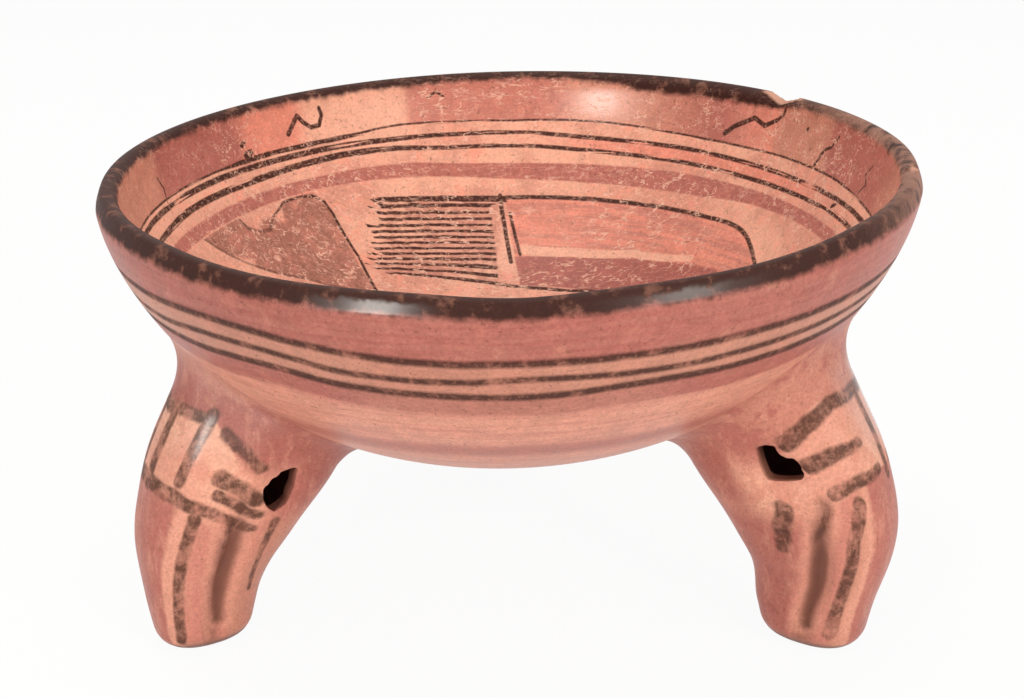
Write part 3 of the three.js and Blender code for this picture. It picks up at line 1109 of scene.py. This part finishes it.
def clay_skin(colour, gloss, relief, strength, depth, specular=0.12):
    """The shader of a clay surface, wired to the material's output."""
    bump = put("ShaderNodeBump")
    bump.inputs["Strength"].default_value = strength
    bump.inputs["Distance"].default_value = depth
    feed(bump.inputs["Height"], relief)
    skin = put("ShaderNodeBsdfPrincipled")
    skin.inputs["Specular IOR Level"].default_value = specular
    feed(skin.inputs["Base Color"], colour)
    feed(skin.inputs["Roughness"], gloss)
    feed(skin.inputs["Normal"], Flow(bump.outputs[0]))
    put("ShaderNodeOutputMaterial", Flow(skin.outputs[0]))
    return skin


def polish(skin, burnish, age, softness):
    """A thin even shine over the relief, where a pebble has burnished the slip."""
    skin.inputs["Coat Roughness"].default_value = softness
    if burnish is not None:
        scuffed = larger(age["Scratches"], age["Worn"] * 0.7)
        left = held(weighed(1.15 - scuffed, (age["Grime"], -0.35)))
        feed(skin.inputs["Coat Weight"], burnish * left)


# %% [markdown]
# The rings inside and outside the bowl were drawn by hand, so their height changes round the
# pot. A Float Curve turns the direction into the height of one ring, through a few heights
# read from the photograph. The unseen half of each ring joins the two ends.

# %% Rings of the bowl, as [direction in degrees, height]
low_height = 76.0
high_height = 106.0
rings_inside = {
    "upper line": [(-130, 95.2), (-147, 95.3), (-159, 96.5), (-168, 96.1), (178, 95.7), (168, 95.8),
                   (140, 94.0), (119, 93.9), (106, 93.6), (95, 92.8)],
    "middle line": [(-147, 93.1), (-158, 92.8), (-168, 92.6), (178, 92.3), (162, 91.1), (146, 90.7),
                    (123, 89.9), (94, 90.0)],
    "lower line": [(-93, 88.8), (-108, 89.7), (-125, 89.8), (-146, 90.7), (-155, 90.5), (-168, 89.1),
                   (178, 88.7), (160, 87.5), (146, 87.1), (122, 86.5), (95, 86.9)],
    "band top": [(-110, 86.1), (-131, 86.5), (-157, 86.2), (-171, 84.6), (178, 84.1), (142, 84.3),
                 (95, 84.0)],
    "band foot": [(-117, 83.1), (-138, 83.5), (-156, 82.6), (-171, 81.0), (178, 79.9), (141, 79.5),
                  (124, 80.8), (100, 81.1)],
}
rings_outside = {
    "upper line": [(-55, 95.9), (-39, 96.6), (-26, 95.2), (-17, 94.0), (-7, 93.2), (18, 93.3), (32, 93.6)],
    "middle line": [(-54, 90.2), (-38, 91.8), (-18, 88.9), (-8, 88.4), (1, 89.0), (19, 88.6), (35, 89.1)],
    "lower line": [(-47, 86.5), (-34, 87.2), (-22, 85.5), (-11, 84.6), (1, 84.1), (19, 85.4), (28, 85.2),
                   (46, 85.2)],
}


def ring_height(share, marks):
    """The height of a ring at a share of a turn, from heights marked around it."""
    dial = put("ShaderNodeFloatCurve", 1.0, share)
    line = dial.mapping.curves[0]
    span = high_height - low_height
    places = sorted((((azimuth + 360) % 360) / 360, (height - low_height) / span)
                    for azimuth, height in marks)
    first, last = places[0], places[-1]
    to_front = (1 - last[0]) / (1 - last[0] + first[0])
    join = last[1] + (first[1] - last[1]) * to_front
    line.points[0].location = (0, join)
    line.points[1].location = (1, join)
    for spot in places:
        line.points.new(*spot)
    dial.mapping.update()
    return linear(Flow(dial.outputs[0]), span, low_height)


def three_lines(share, rings):
    """The heights of the three thin lines of one side of the bowl."""
    return [ring_height(share, rings[f"{name} line"]) for name in ("upper", "middle", "lower")]


def ring_line(height, line_height, width, edge=0.2):
    """The mask of one painted ring."""
    return ramp_up(abs(height - line_height) - width, edge, -edge)


# %% [markdown]
# Inside, above the rings, the rim is painted in patches of cream, red and orange, with quick
# squiggles. Below the rings lies a red band, and then the floor with a comb of thin lines, a
# rounded tongue and a brown hooked shape. They are common motifs of such wares. The near half
# can't be seen in the photograph, so it repeats the far half turned half round.

# %% Motifs of the bowl, in millimetres
rim_patches = [
    (0, peach_slip), (60, peach_slip), (82, tan_slip), (92, red_slip), (111, red_slip), (113, tan_slip),
    (125, tan_slip), (127, orange_slip), (135, rose_slip), (138, red_slip), (154, tan_slip),
    (158, peach_slip), (167, peach_slip), (171, rose_slip), (198, rose_slip), (200, cream_slip),
    (219, cream_slip), (222, orange_slip), (232, orange_slip), (235, red_slip), (257, red_slip),
    (260, tan_slip), (300, tan_slip), (320, peach_slip), (360, peach_slip),
]
# Squiggles as points of [direction in degrees, height], with a width at each end
squiggles = [
    ([(-136.7, 99.1), (-138.2, 101.6), (-139.2, 103.5), (-140.2, 101.4), (-141.6, 99.6), (-143.4, 99.8),
      (-144.2, 102.4), (-143.9, 104.6)], 1.5, 1.2),
    ([(-165.1, 103.6), (-166.5, 104.9), (-167.9, 103.5)], 0.7, 0.7),
    ([(137, 96.4), (135.4, 98.6), (133.4, 100.3), (131.5, 101.9), (128.9, 100.4), (126.4, 102.6)], 1.5, 1.3),
    ([(126.4, 102.6), (125.2, 104.4), (124.8, 107)], 1.0, 0.8),
    ([(113.9, 94.7), (112.9, 99), (111.2, 100.4), (109.9, 103.6)], 1.1, 0.7),
    ([(97.4, 94), (96.2, 96.6), (97.8, 98.6), (96.4, 101.4)], 0.6, 0.5),
    ([(-126.4, 96.4), (-127.6, 96.9)], 2.3, 1.8),
    ([(-126, 99.4), (-126.6, 99.9)], 1.5, 1.2),
    ([(-101.2, 100.6), (-102, 97.4), (-101, 94)], 0.7, 0.5),
    ([(118.8, 102.4), (118.6, 102.9)], 1.0, 0.8),
    ([(103.4, 88.0), (102.4, 88.9)], 1.3, 0.9),
]
# The direction of a squiggle is measured as girth at this radius
squiggle_radius = 97.0
tongue_slants = [[(-2.7, 78.4), (0.5, 61.4)], [(0.3, 74.5), (3.2, 63.4)]]
tongue_streak = [(4, 64.9), (18.7, 62.0), (35.5, 56.0), (51.2, 45.5)]
tongue_end = [(53.6, 5.6), (66.6, 5.6)]
tongue_round = 78.2
tongue_right = 66.8
tongue_inner_round = 53.2
tongue_foot = 5.3
lower_border = [(-4, 54.4), (10, 51.8), (23.4, 48.0), (42, 36), (50, 24), (53.6, 5.6)]
hook_inner_bay = [(-74.8, 38.5), (-72, 39.1), (-69.5, 41.0), (-66.9, 44.0), (-66.3, 48.6)]
hook_crown = [(-66.3, 48.6), (-64.2, 54), (-60.6, 58.4), (-56.4, 61.6), (-53.4, 62.2)]
hook_edge = [(-53.4, 62.2), (-51, 60.9), (-47.4, 57.3), (-43.2, 53.0), (-38.0, 44.7), (-31, 31)]
hook_body = [
    ([(-55.6, 53.4), (-53, 46)], 17.5, 20),
    ([(-52, 48), (-40, 33)], 18, 17),
    ([(-62, 42), (-60, 34)], 15, 20),
    ([(-70, 36), (-84, 28)], 8, 16),
]
hook_foot = [(-82, 21.1), (-56.6, 37.4), (-38, 43.9)]
# Slope and height of the foot line's two parts
hook_foot_slopes = [(0.64, 73.6), (0.35, 57.2)]
comb_left = -39.2
comb_right = -2.7
comb_slope = 0.217
comb_foot = 57.2
comb_spacing = 1.557
comb_lines = 15
comb_middle = -21.6
comb_half = 19
comb_bow = 2.2
comb_fan_start = 4.0
comb_fan = 0.42
print("strokes on the bowl:", sum(len(points) - 1 for points, _, _ in squiggles + hook_body))

# %% [markdown]
# The bowl's paint is built in three materials: the rim inside, the floor, and the outside.
# They share their ground, band, lip and age, so no seam shows where one hands over to the next;
# the change from rim to floor lies within the plain red band, and the change from inside to
# outside lies under the dark coat of the lip.

# %% What every zone of the bowl shares
def turn_of(x, y):
    """The direction of a place round the pot, in radians and as a share of a turn."""
    turn = calc("ARCTAN2", x, y * -1.0)
    return turn, calc("FRACT", turn * (1 / (2 * pi)) + 1.0)


def begin_zone(title, scratching, wear):
    """A new material, and the measures of a place that every zone needs."""
    material, place, age = open_material(title, scratching, wear)
    at = SimpleNamespace(place=place, age=age)
    at.x, at.y, z = split(use(wander, Place=place, Wander=0.2, Lumps=7.0)["Place"])
    at.level = linear(at.x, -rim_slope, z)
    at.turn, at.share = turn_of(at.x, at.y)
    at.from_lip = flow("ShaderNodeAttribute", attribute_name="from_lip", out="Fac")
    at.thin = ramp_up(grain(place, 1.1, 3.0, 0.6), 0.5, 0.66)
    # Brush marks run round the pot: long along the turn, fine across it
    at.brushed = joined(calc("SINE", at.turn) * 5.0, calc("COSINE", at.turn) * 5.0, at.from_lip)
    at.drag = grain(at.brushed, 1.5, 3.0, 0.6)
    at.ground = ground_of(age, (0.38, 0.62), (0.5, 0.72), 0.6)
    return material, at


def over(at, low, soft=0.3):
    """A mask of what lies higher than a ring."""
    return ramp_up(at.level - low, -soft, soft)


def red_band(at, colour):
    """The red band inside, between two rings of its own, and the ring at its foot."""
    top, foot = (ring_height(at.share, rings_inside[f"band {end}"]) for end in ("top", "foot"))
    return paint_over(colour, held(over(at, foot) - over(at, top)), red_slip, 0.25, at.thin), foot


def end_zone(material, at, colour, lines, burnish=None):
    """The lip's dark worn coat, then age: dirt, wear, scratches, specks and bare breaks."""
    mottle, worn, scratches = (at.age[name] for name in ("Mottle", "Worn", "Scratches"))
    breakage = flow("ShaderNodeAttribute", attribute_name="broken", out="Fac")
    lip_edge = abs(at.from_lip + 0.6) + linear(mottle, 3.0, -1.5)
    heavy_coat = window(at.share, 0.35, 0.44, 0.015) * ramp_up(at.from_lip, 0.0, 1.0)
    coat = ramp_up(weighed(lip_edge, (heavy_coat, -2.2)), 5.3, 3.2)
    smoky = window(at.share, 0.17, 0.32, 0.045) * ramp_up(mottle, 0.3, 0.52)
    lip_tone = layered(lip_paint, (ramp_up(mottle, 0.52, 0.68), faded_lip), (smoky, smoky_paint))
    colour = dirtied(blend(coat, colour, lip_tone), at.age["Grime"], 1.08, 0.78)
    off_lip = linear(coat, -0.8, 1.0)
    outer_break = breakage * ramp_up(at.from_lip, 1.4, -0.2)
    colour = layered(colour, (worn * (off_lip * 0.7), bare_clay), (scratches * (off_lip * 0.8), bare_clay),
                     (at.age["Specks"] * 0.4, dark_paint), (outer_break, ashy_clay))
    gloss = weighed(0.27, (mottle, 0.2), (larger(lines, coat), 0.2), (worn, 0.25), (scratches, 0.2),
                    (breakage, 0.4))
    polish(clay_skin(colour, held(gloss), at.age["Relief"], 0.6, 0.0004), burnish, at.age, 0.2)
    bowl_piece.data.materials.append(material)
    print(material.name, len(work.tree.nodes), "nodes")


# %% Material: rim inside
material, at = begin_zone("slip on the rim inside", 1.0, 0.5)
patch_x, patch_y, _ = split(use(wander, Place=at.place, Wander=2.2, Lumps=9.0)["Place"])
_, patch_share = turn_of(patch_x, patch_y)
patches = colour_ramp(patch_share, [(azimuth / 360, paint) for azimuth, paint in rim_patches])
upper, middle, lower = three_lines(at.share, rings_inside)
colour, band_foot = red_band(at, blend(over(at, upper), at.ground, patches))

# An orange stripe between the two lower lines, and the three lines, the top one thick in places
stripe = held(over(at, lower) - over(at, middle)) * window(at.share, 0.3, 0.47, 0.04)
colour = paint_over(colour, stripe, orange_slip, 0.3, at.thin)
heavy = window(at.share, 0.56, 0.74, 0.03)
very_heavy = window(at.share, 0.582, 0.66, 0.012)
lines = larger(ring_line(at.level, upper, linear(very_heavy, 0.4, 0.3)),
               ring_line(at.level, middle, linear(heavy, 0.2, 0.6)),
               ring_line(at.level, lower, linear(heavy, 0.3, 0.56)))
lines = lines * ramp_up(grain(at.brushed, 0.8, 1.0), 0.3, 0.4)

# Squiggles, on a chart of girth and height
rim_chart = joined(at.turn * squiggle_radius, at.level)
on_chart = [([(radians(azimuth) * squiggle_radius, height) for azimuth, height in points], start, end)
            for points, start, end in squiggles]
lines = larger(lines, strokes_over(rim_chart, on_chart))
colour = paint_over(colour, lines, dark_paint, 0.3, at.thin)
burnished_wall = window(at.share, 0.425, 0.478, 0.012) * window(at.from_lip, 6.5, 16.0, 1.5)
end_zone(material, at, colour, lines, burnished_wall)

# %% Material: floor
material, at = begin_zone("slip on the floor of the bowl", 1.0, 0.55)
colour, band_foot = red_band(at, at.ground)
below_band = ramp_up(band_foot - at.level, 0.2, 0.6)

# The near half is the far half turned half round
floor_x = at.x * calc("SIGN", at.y)
floor_y = abs(at.y)
floor_place = joined(floor_x, floor_y)
reach = vector_math("LENGTH", floor_place, out="Value")

# The tongue, rounded at one end and cut off by slanting lines at the other
right_of_slant = ramp_up(linear(floor_y, 0.18, floor_x), 12.5, 13.3)
beyond = calc("SMOOTH_MAX", reach - tongue_round, floor_x - tongue_right, 7.0)
over_tongue_foot = ramp_up(floor_y, tongue_foot, tongue_foot + 0.6)
tongue = right_of_slant * ramp_up(beyond, 0.3, -0.3)
tongue = tongue * ramp_up(reach, tongue_inner_round, tongue_inner_round + 0.7) * over_tongue_foot
tongue_tone = blend(ramp_up(at.drag, 0.42, 0.6), orange_slip, rose_slip)
colour = paint_over(colour, tongue, tongue_tone, 0.3, at.thin)
heart = ramp_up(linear(floor_x * floor_x, 0.0016, 63.2) - reach, 0.0, 0.8) * ramp_up(floor_x, 58.2, 57.0)
colour = paint_over(colour, tongue * heart, deep_red_slip, 0.25, at.thin)
streak = strokes_over(floor_place, [(tongue_streak, 3.0, 1.8)])
colour = paint_over(colour, streak, cream_slip, 0.3, at.thin)
tongue_line = right_of_slant * ramp_up(abs(beyond), 0.62, 0.3) * over_tongue_foot

# The hooked shape, and the lines round both
foot_lines = [linear(floor_x, slope, height) for slope, height in hook_foot_slopes]
over_foot = floor_y - calc("MINIMUM", *foot_lines)
hook = strokes_over(floor_place, hook_body, 0.5) * ramp_up(over_foot, -0.3, 0.3)
hook_tone = blend(ramp_up(at.age["Mottle"], 0.45, 0.65) * 0.5, brown_slip, rose_slip)
colour = paint_over(colour, hook * below_band, hook_tone, 0.3, at.thin)
bold_lines = strokes_over(floor_place, [
    (tongue_slants[0], 1.3, 1.2), (tongue_slants[1], 1.0, 0.9), (lower_border, 1.1, 1.0),
    (tongue_end, 1.0, 1.0), (hook_crown, 0.4, 0.6), (hook_edge, 0.8, 1.0)])
faint_lines = strokes_over(floor_place, [(hook_inner_bay, 0.7, 0.7), (hook_foot, 0.7, 0.7)])
lines = larger(bold_lines, faint_lines * 0.65, tongue_line)

# The comb's thin lines, counted across the comb; the lowest fan out towards the tongue
off_middle = linear(floor_x, 1 / comb_half, -comb_middle / comb_half)
comb_height = linear(floor_x, -comb_slope, floor_y) - (comb_foot + 1.6)
straight_tooth = (comb_height + off_middle * off_middle * comb_bow) / comb_spacing
rightwards = held((floor_x + 32.0) / 29.0)
tooth = straight_tooth + larger(comb_fan_start - straight_tooth, 0.0) * comb_fan * rightwards
off_tooth = abs(calc("FRACT", tooth + 0.5) - 0.5)
along_comb = flow("ShaderNodeMapping", floor_place, None, None, (0.04, 1, 1))
top_teeth = ramp_up(tooth, comb_lines - 2.0, comb_lines - 1.4)
tooth_width = weighed(-0.03, (grain(along_comb, 1.1, 1.0), 0.5), (top_teeth, 0.16))
comb = ramp_up(off_tooth - tooth_width, 0.1, -0.06)
ragged = linear(grain(along_comb, 1.2, 1.0), 14.0, -7.0) + ramp_up(tooth, 3.0, 0.0, 0.0, -6.0)
comb = comb * ramp_up(floor_x + ragged, comb_left - 0.4, comb_left + 0.4)
teeth_end = weighed(comb_right - 0.2, (top_teeth, 5.0), (tooth, -0.2))
comb = comb * ramp_up(teeth_end - floor_x, -0.4, 0.4)
comb = comb * window(tooth, 0.55, comb_lines - 0.55, 0.05)
comb_ground = window(floor_x, comb_left + 3, comb_right, 2.0) * window(tooth, 0.7, comb_lines - 0.7, 0.3)
comb_ground = comb_ground * ramp_up(at.age["Mottle"], 0.42, 0.6)
colour = blend(comb_ground * 0.6, colour, brown_slip)
lines = larger(lines, comb) * below_band
colour = paint_over(colour, lines, dark_paint, 0.3, at.thin)
end_zone(material, at, colour, lines)

# %% Material: outside
material, at = begin_zone("slip on the outside of the bowl", 0.0, 0.2)
upper, middle, lower = three_lines(at.share, rings_outside)
pale_patches = ramp_up(grain(at.place, 9.0, 3.0, 0.6), 0.56, 0.72, 0.0, 0.55)
red_tone = layered(outer_red_slip, (ramp_up(at.drag, 0.4, 0.62), deep_red_slip), (pale_patches, tan_slip))
between_lines = blend(0.85, at.ground, outer_tan_slip)
colour = paint_over(between_lines, over(at, upper), red_tone, 0.15, at.thin)
below_lines = ramp_up(lower - at.level, -0.3, 0.3)
belly_tone = layered(peach_slip, (ramp_up(at.drag, 0.34, 0.78), rose_slip),
                     (window(at.level, 62.0, 67.0, 2.0), red_slip))
colour = blend(below_lines * 0.85, colour, belly_tone)
in_front = ramp_up(calc("COSINE", at.turn), 0.9, 0.98)
band_tone = layered(red_tone, (0.4, deep_red_slip), (in_front * 0.55, outer_tan_slip))
band_foot = weighed(lower - 8.0, (at.drag, 4.0))
colour = paint_over(colour, below_lines * over(at, band_foot, 1.0), band_tone, 0.15, at.thin)
lines = larger(ring_line(at.level, upper, 0.95, 0.6), ring_line(at.level, middle, 0.85, 0.55),
               ring_line(at.level, lower, 1.0, 0.55))
worn_lines = lines * ramp_up(at.age["Mottle"], 0.72, 0.5, 0.5, 0.95)
colour = paint_over(colour, worn_lines, dark_paint, 0.2, at.thin)
left_shine = window(at.share, 0.936, 0.975, 0.006)
right_shine = window(at.share, 0.03, 0.085, 0.008)
rubbed = weighed(at.from_lip, (at.age["Mottle"], 4.0))
burnished_lip = weighed(left_shine, (right_shine, 0.35)) * window(rubbed, -3.4, -0.6, 0.6)
end_zone(material, at, colour, lines, burnished_lip)

# %% Share the bowl's faces between its three materials
zone_change = 84.5
side_of_lip = bowl_piece.data.attributes["from_lip"].data
for face in bowl_piece.data.polygons:
    level = (face.center.z - rim_slope * face.center.x) / millimetre
    outside = sum(side_of_lip[vertex].value for vertex in face.vertices) < 0
    face.material_index = 2 if outside else (0 if level > zone_change else 1)

# %% [markdown]
# A leg is painted in zones. Its shoulder is plain red slip. A cream panel with dark bars goes
# round the outer face, between a bar below the shoulder and a border above the foot. Under the
# border run upright stripes: red outside, cream, a long dark line, brown, the pressed groove,
# orange, a thin dark line, and red inside. The pressed groove gets painted shade down its
# valley and a painted highlight on its raised edges. The chart of each leg gives the angle
# round the section and the height, so both flanks and all legs are painted alike.

# %% Strokes of the legs, as [degrees round the section, height] with widths in millimetres
left_bars = [
    ([(0, 62), (18, 63.2), (37, 62.5)], 2.8, 2.6),
    ([(58, 59.4), (75, 54.6), (88, 49.4)], 2.7, 2.1),
    ([(9, 61.5), (7, 45)], 3.0, 2.8),
    ([(44, 63), (38, 48.2)], 4.6, 3.6),
    ([(65, 49.1), (80, 45.5), (92, 41.2)], 3.8, 3.0),
    ([(67, 44.8), (82, 41.4), (94, 37.4)], 2.9, 2.2),
    ([(0, 46.4), (17, 45.7), (35, 44.7), (50, 42.5), (67, 40.2), (83, 37.1), (94, 34)], 4.0, 2.2),
    ([(57, 39), (56, 24), (54, 5)], 3.6, 3.0),
    ([(108, 34), (111, 26.4), (122, 15.5)], 2.4, 1.5),
]
right_bars = [
    ([(74, 56.7), (54, 61.8), (30, 65.8), (0, 66.5)], 3.6, 2.8),
    ([(0, 65.6), (0, 47)], 2.4, 2.0),
    ([(64, 52.3), (45, 55.1), (20, 56.7)], 3.8, 2.4),
    ([(54, 45.9), (35, 48.5), (10, 49.6)], 3.4, 2.8),
    ([(37, 43), (50, 33.9), (58, 21.3), (62, 7)], 4.2, 3.8),
    ([(87, 41), (94, 34), (98, 29)], 3.6, 2.2),
]
left_groove = [(83, 37), (87, 28), (92, 18), (95, 9)]
right_groove = [(62, 43), (74, 34), (81, 23.6), (87, 8)]
# Turn and slant shift the stripes, rise lifts the panel, strip is the width of the outer red
# strip at its two heights, shine is where the slip is burnished, and inner is the last stripe
leg_paints = {
    "front_left": {
        "bars": left_bars, "groove": left_groove, "turn": 4.0, "slant": 0.0, "rise": 0.0,
        "strip": (37.0, 41.0), "strip_heights": (20.0, 42.0), "shine": (20.0, 85.0), "inner": tan_slip,
    },
    "front_right": {
        "bars": right_bars, "groove": right_groove, "turn": 3.5, "slant": 0.62, "rise": 5.0,
        "strip": (36.0, 27.0), "strip_heights": (22.0, 44.0), "shine": (0.0, 20.0), "inner": red_slip,
    },
    "back": {
        "bars": left_bars, "groove": left_groove, "turn": 0.0, "slant": 0.3, "rise": 1.5,
        "strip": (38.0, 32.0), "strip_heights": (20.0, 42.0), "shine": (0.0, 20.0), "inner": rose_slip,
    },
}
# A leg's girth is measured at these heights, and is this much longer than a circle's
girth_levels = (6.0, 40.0, 64.0)
girth_factor = 1.08


def leg_chart(leg, place, angle, height):
    """A chart of the skin in millimetres, shaken by the hand, and what brings points onto it."""
    foot, knee, top = girth_levels
    girths = []
    for level in girth_levels:
        _, depth, thickness = section_at(leg, max(level, foot_round))
        girths.append(radians(1) * (depth + thickness) / 2 * girth_factor)
    to_knee = girths[1] - girths[0]
    to_top = girths[2] - girths[1]
    per_degree = (flow("ShaderNodeMapRange", height, foot, knee, girths[0], girths[1])
                  + flow("ShaderNodeMapRange", height, knee, top, 0.0, to_top))
    shaken = use(wander, Place=place, Wander=0.45, Lumps=4.0)["Place"]
    shake = vector_math("SUBTRACT", shaken, place)
    drawn = vector_math("ADD", joined(angle * per_degree, height), shake)

    def charted(points):
        """Points of [degrees, height] as places on the chart."""
        spots = []
        for degree, level in points:
            girth = girths[0] + to_knee * min(max((level - foot) / (knee - foot), 0), 1)
            girth += to_top * min(max((level - knee) / (top - knee), 0), 1)
            spots.append((degree * girth, level))
        return spots

    return vector_math("MULTIPLY", drawn, (1, 1, 0)), charted


def leg_material(name):
    """The painted skin of one leg and its luting."""
    facts = leg_paints[name]
    finish, place, age = open_material(f"burnished slip on the {name} leg", 0.15, 0.35)
    mottle = age["Mottle"]
    thin = ramp_up(grain(place, 1.8, 5.0, 0.7), 0.42, 0.74)
    chart = flow("ShaderNodeAttribute", attribute_name="leg_chart", out="Vector")
    signed_angle, height, wall = split(chart)
    angle = abs(signed_angle + facts["turn"])
    drawn, charted = leg_chart(leg_facts[name], place, angle, height)
    runs = [(charted(points), start, end) for points, start, end in facts["bars"]]
    bars = strokes_over(drawn, runs, 0.5)
    # The groove's painted shadow down its middle, painted shade on its sides and painted highlight on its
    # raised edges, as widths and softness
    painted_groove_shadow, shade, ridge_highlights = (strokes_over(drawn, [(charted(facts["groove"]), start, end)], soft)
                           for start, end, soft in ((1.9, 1.0, 0.6), (4.2, 2.4, 1.0), (8.4, 5.6, 0.9)))

    # Upright stripes below the border
    _, drawn_height, _ = split(drawn)
    wandering = weighed(angle - 3.0, (mottle, 6.0))
    leaning = weighed(wandering, (height - 7.0, facts["slant"]))
    inner = facts["inner"]
    stripes = [(0, peach_slip), (50, peach_slip), (58, tan_slip), (66, rose_slip), (78, rose_slip),
               (86, brown_slip), (92, brown_slip), (98, rose_slip), (106, inner), (122, inner),
               (180, red_slip)]
    lower = colour_ramp(leaning / 180.0, [(degree / 180, paint) for degree, paint in stripes])
    strip_edge = ramp_up(height, *facts["strip_heights"], *facts["strip"])
    lower = blend(ramp_up(strip_edge - wandering, -3.0, 3.0), lower, red_slip)

    # The panel between border and shoulder, fading into red on the inner face
    ground = ground_of(age, (0.4, 0.6), (0.5, 0.7), 0.5)
    border_height = linear(ramp_up(angle, 10.0, 95.0), -12.0, 46.0 + facts["rise"] * 0.7)
    top_height = linear(ramp_up(angle, 36.0, 100.0), -17.0, 63.5 + facts["rise"] * 0.6)
    softness = linear(ramp_up(angle, 62.0, 96.0), 4.0, 0.5)
    above_border, above_top = (ramp_up((drawn_height - edge) / softness, -1.0, 1.0)
                               for edge in (border_height, top_height))
    shoulder = above_border * larger(above_top, ramp_up(wandering, 92.0, 112.0))
    rubbed = weighed(mottle * 0.4, (age["Blotches"], 0.6))
    rubbed = ramp_up(height, 50.0, 62.0) * ramp_up(rubbed, 0.46, 0.53)
    shoulder_tone = layered(red_slip, (ramp_up(mottle, 0.4, 0.62), deep_red_slip), (rubbed * 0.6, tan_slip))
    sole = ramp_up(linear(mottle, 4.0, height), 6.5, 3.0)
    # Painted light in the groove: a peach painted highlight on its raised edges, painted shade on its sides
    # and a dark painted shadow down its middle
    colour = layered(lower, (above_border, ground), (shoulder, shoulder_tone), (sole * 0.75, ashy_clay),
                     (ridge_highlights * 0.5, peach_slip), (shade * 0.7, groove_shade), (painted_groove_shadow * 0.9, groove_shadow_colour))
    worn_bars = bars * ramp_up(mottle, 0.7, 0.45, 0.45, 0.95)
    colour = paint_over(colour, worn_bars, faded_paint, 0.35, thin)

    # Scuffs, wear and age, and the dark inside of the chamber, which is painted shade
    tall = flow("ShaderNodeMapping", place, None, None, (1, 1, 0.35))
    scuffs = ramp_up(grain(tall, 3.2, 5.0, 0.7), 0.5, 0.66)
    colour = layered(colour, (scuffs * 0.4, peach_slip), (ramp_up(mottle, 0.46, 0.66) * 0.35, brown_slip))
    colour = dirtied(colour, age["Grime"], 1.08, 0.8)
    # The chamber's inside is painted dark as painted shade, darkest high up, and the vent walls darken
    # inwards: bare clay with painted shade
    hollow = ramp_up(wall, 0.76, 0.66)
    chamber_painted_shade = blend(ramp_up(height, 49.0, 42.0), chamber_shade_paint, brown_slip)
    colour = layered(colour, (age["Worn"] * 0.6, bare_clay), (age["Scratches"] * 0.5, bare_clay),
                     (age["Specks"] * 0.25, dark_paint), (ramp_up(wall, 0.96, 0.84, 0.0, 0.9), vent_clay_and_shade),
                     (hollow, chamber_painted_shade))
    gloss = held(weighed(0.26, (mottle, 0.22), (age["Worn"], 0.25), (bars, 0.15), (hollow, 0.4)))
    burnish = window(angle, *facts["shine"], 8.0) * window(height, 54.0, 72.0, 4.0)
    polish(clay_skin(colour, gloss, age["Relief"], 0.7, 0.0005), burnish, age, 0.22)
    return finish


for name in leg_facts:
    finish = leg_material(name)
    leg_pieces[name].data.materials.append(finish)
    luting_pieces[name].data.materials.append(finish)
print("leg material:", len(finish.node_tree.nodes), "nodes")

# %% [markdown]
# The pellets were never painted. They are bare, coarse, smoky clay with grit in it: rough, dark
# and without gloss, so that they read as something loose in the shade of the chamber.

# %% Material: pellets
pellet_clay, place, age = open_material("bare pellet clay", 0.2, 0.4)
colour = layered(rose_slip, (ramp_up(age["Mottle"], 0.35, 0.65), brown_slip),
                 (age["Specks"] * 0.5, bare_clay))
clay_skin(colour, linear(age["Mottle"], 0.2, 0.7), age["Relief"], 0.8, 0.0005, specular=0.5)
for piece in pellet_pieces.values():
    piece.data.materials.append(pellet_clay)
print("pellet material:", len(work.tree.nodes), "nodes")

# %% [markdown]
# Last, each piece is tied to the frame: it rides on a body and takes the place of a CAD node,
# which is hidden. The view transform is Standard, so that a colour on the screen is the colour
# that was written.

# %% Tie the pieces to the frame
ties = [(bowl_piece, "bowl_on_legs", "bowl", "painted_slip")]
for name in leg_facts:
    ties.append((leg_pieces[name], "bowl_on_legs", f"leg_{name}", "leg_slip"))
    ties.append((luting_pieces[name], "bowl_on_legs", f"luting_{name}", "luting_slip"))
for node, piece in pellet_pieces.items():
    ties.append((piece, node, node, "pellet_clay"))
for piece, body, node, slot in ties:
    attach(piece, body)
    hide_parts(node)
bpy.context.scene.view_settings.view_transform = "Standard"
print("pieces:", len(ties))
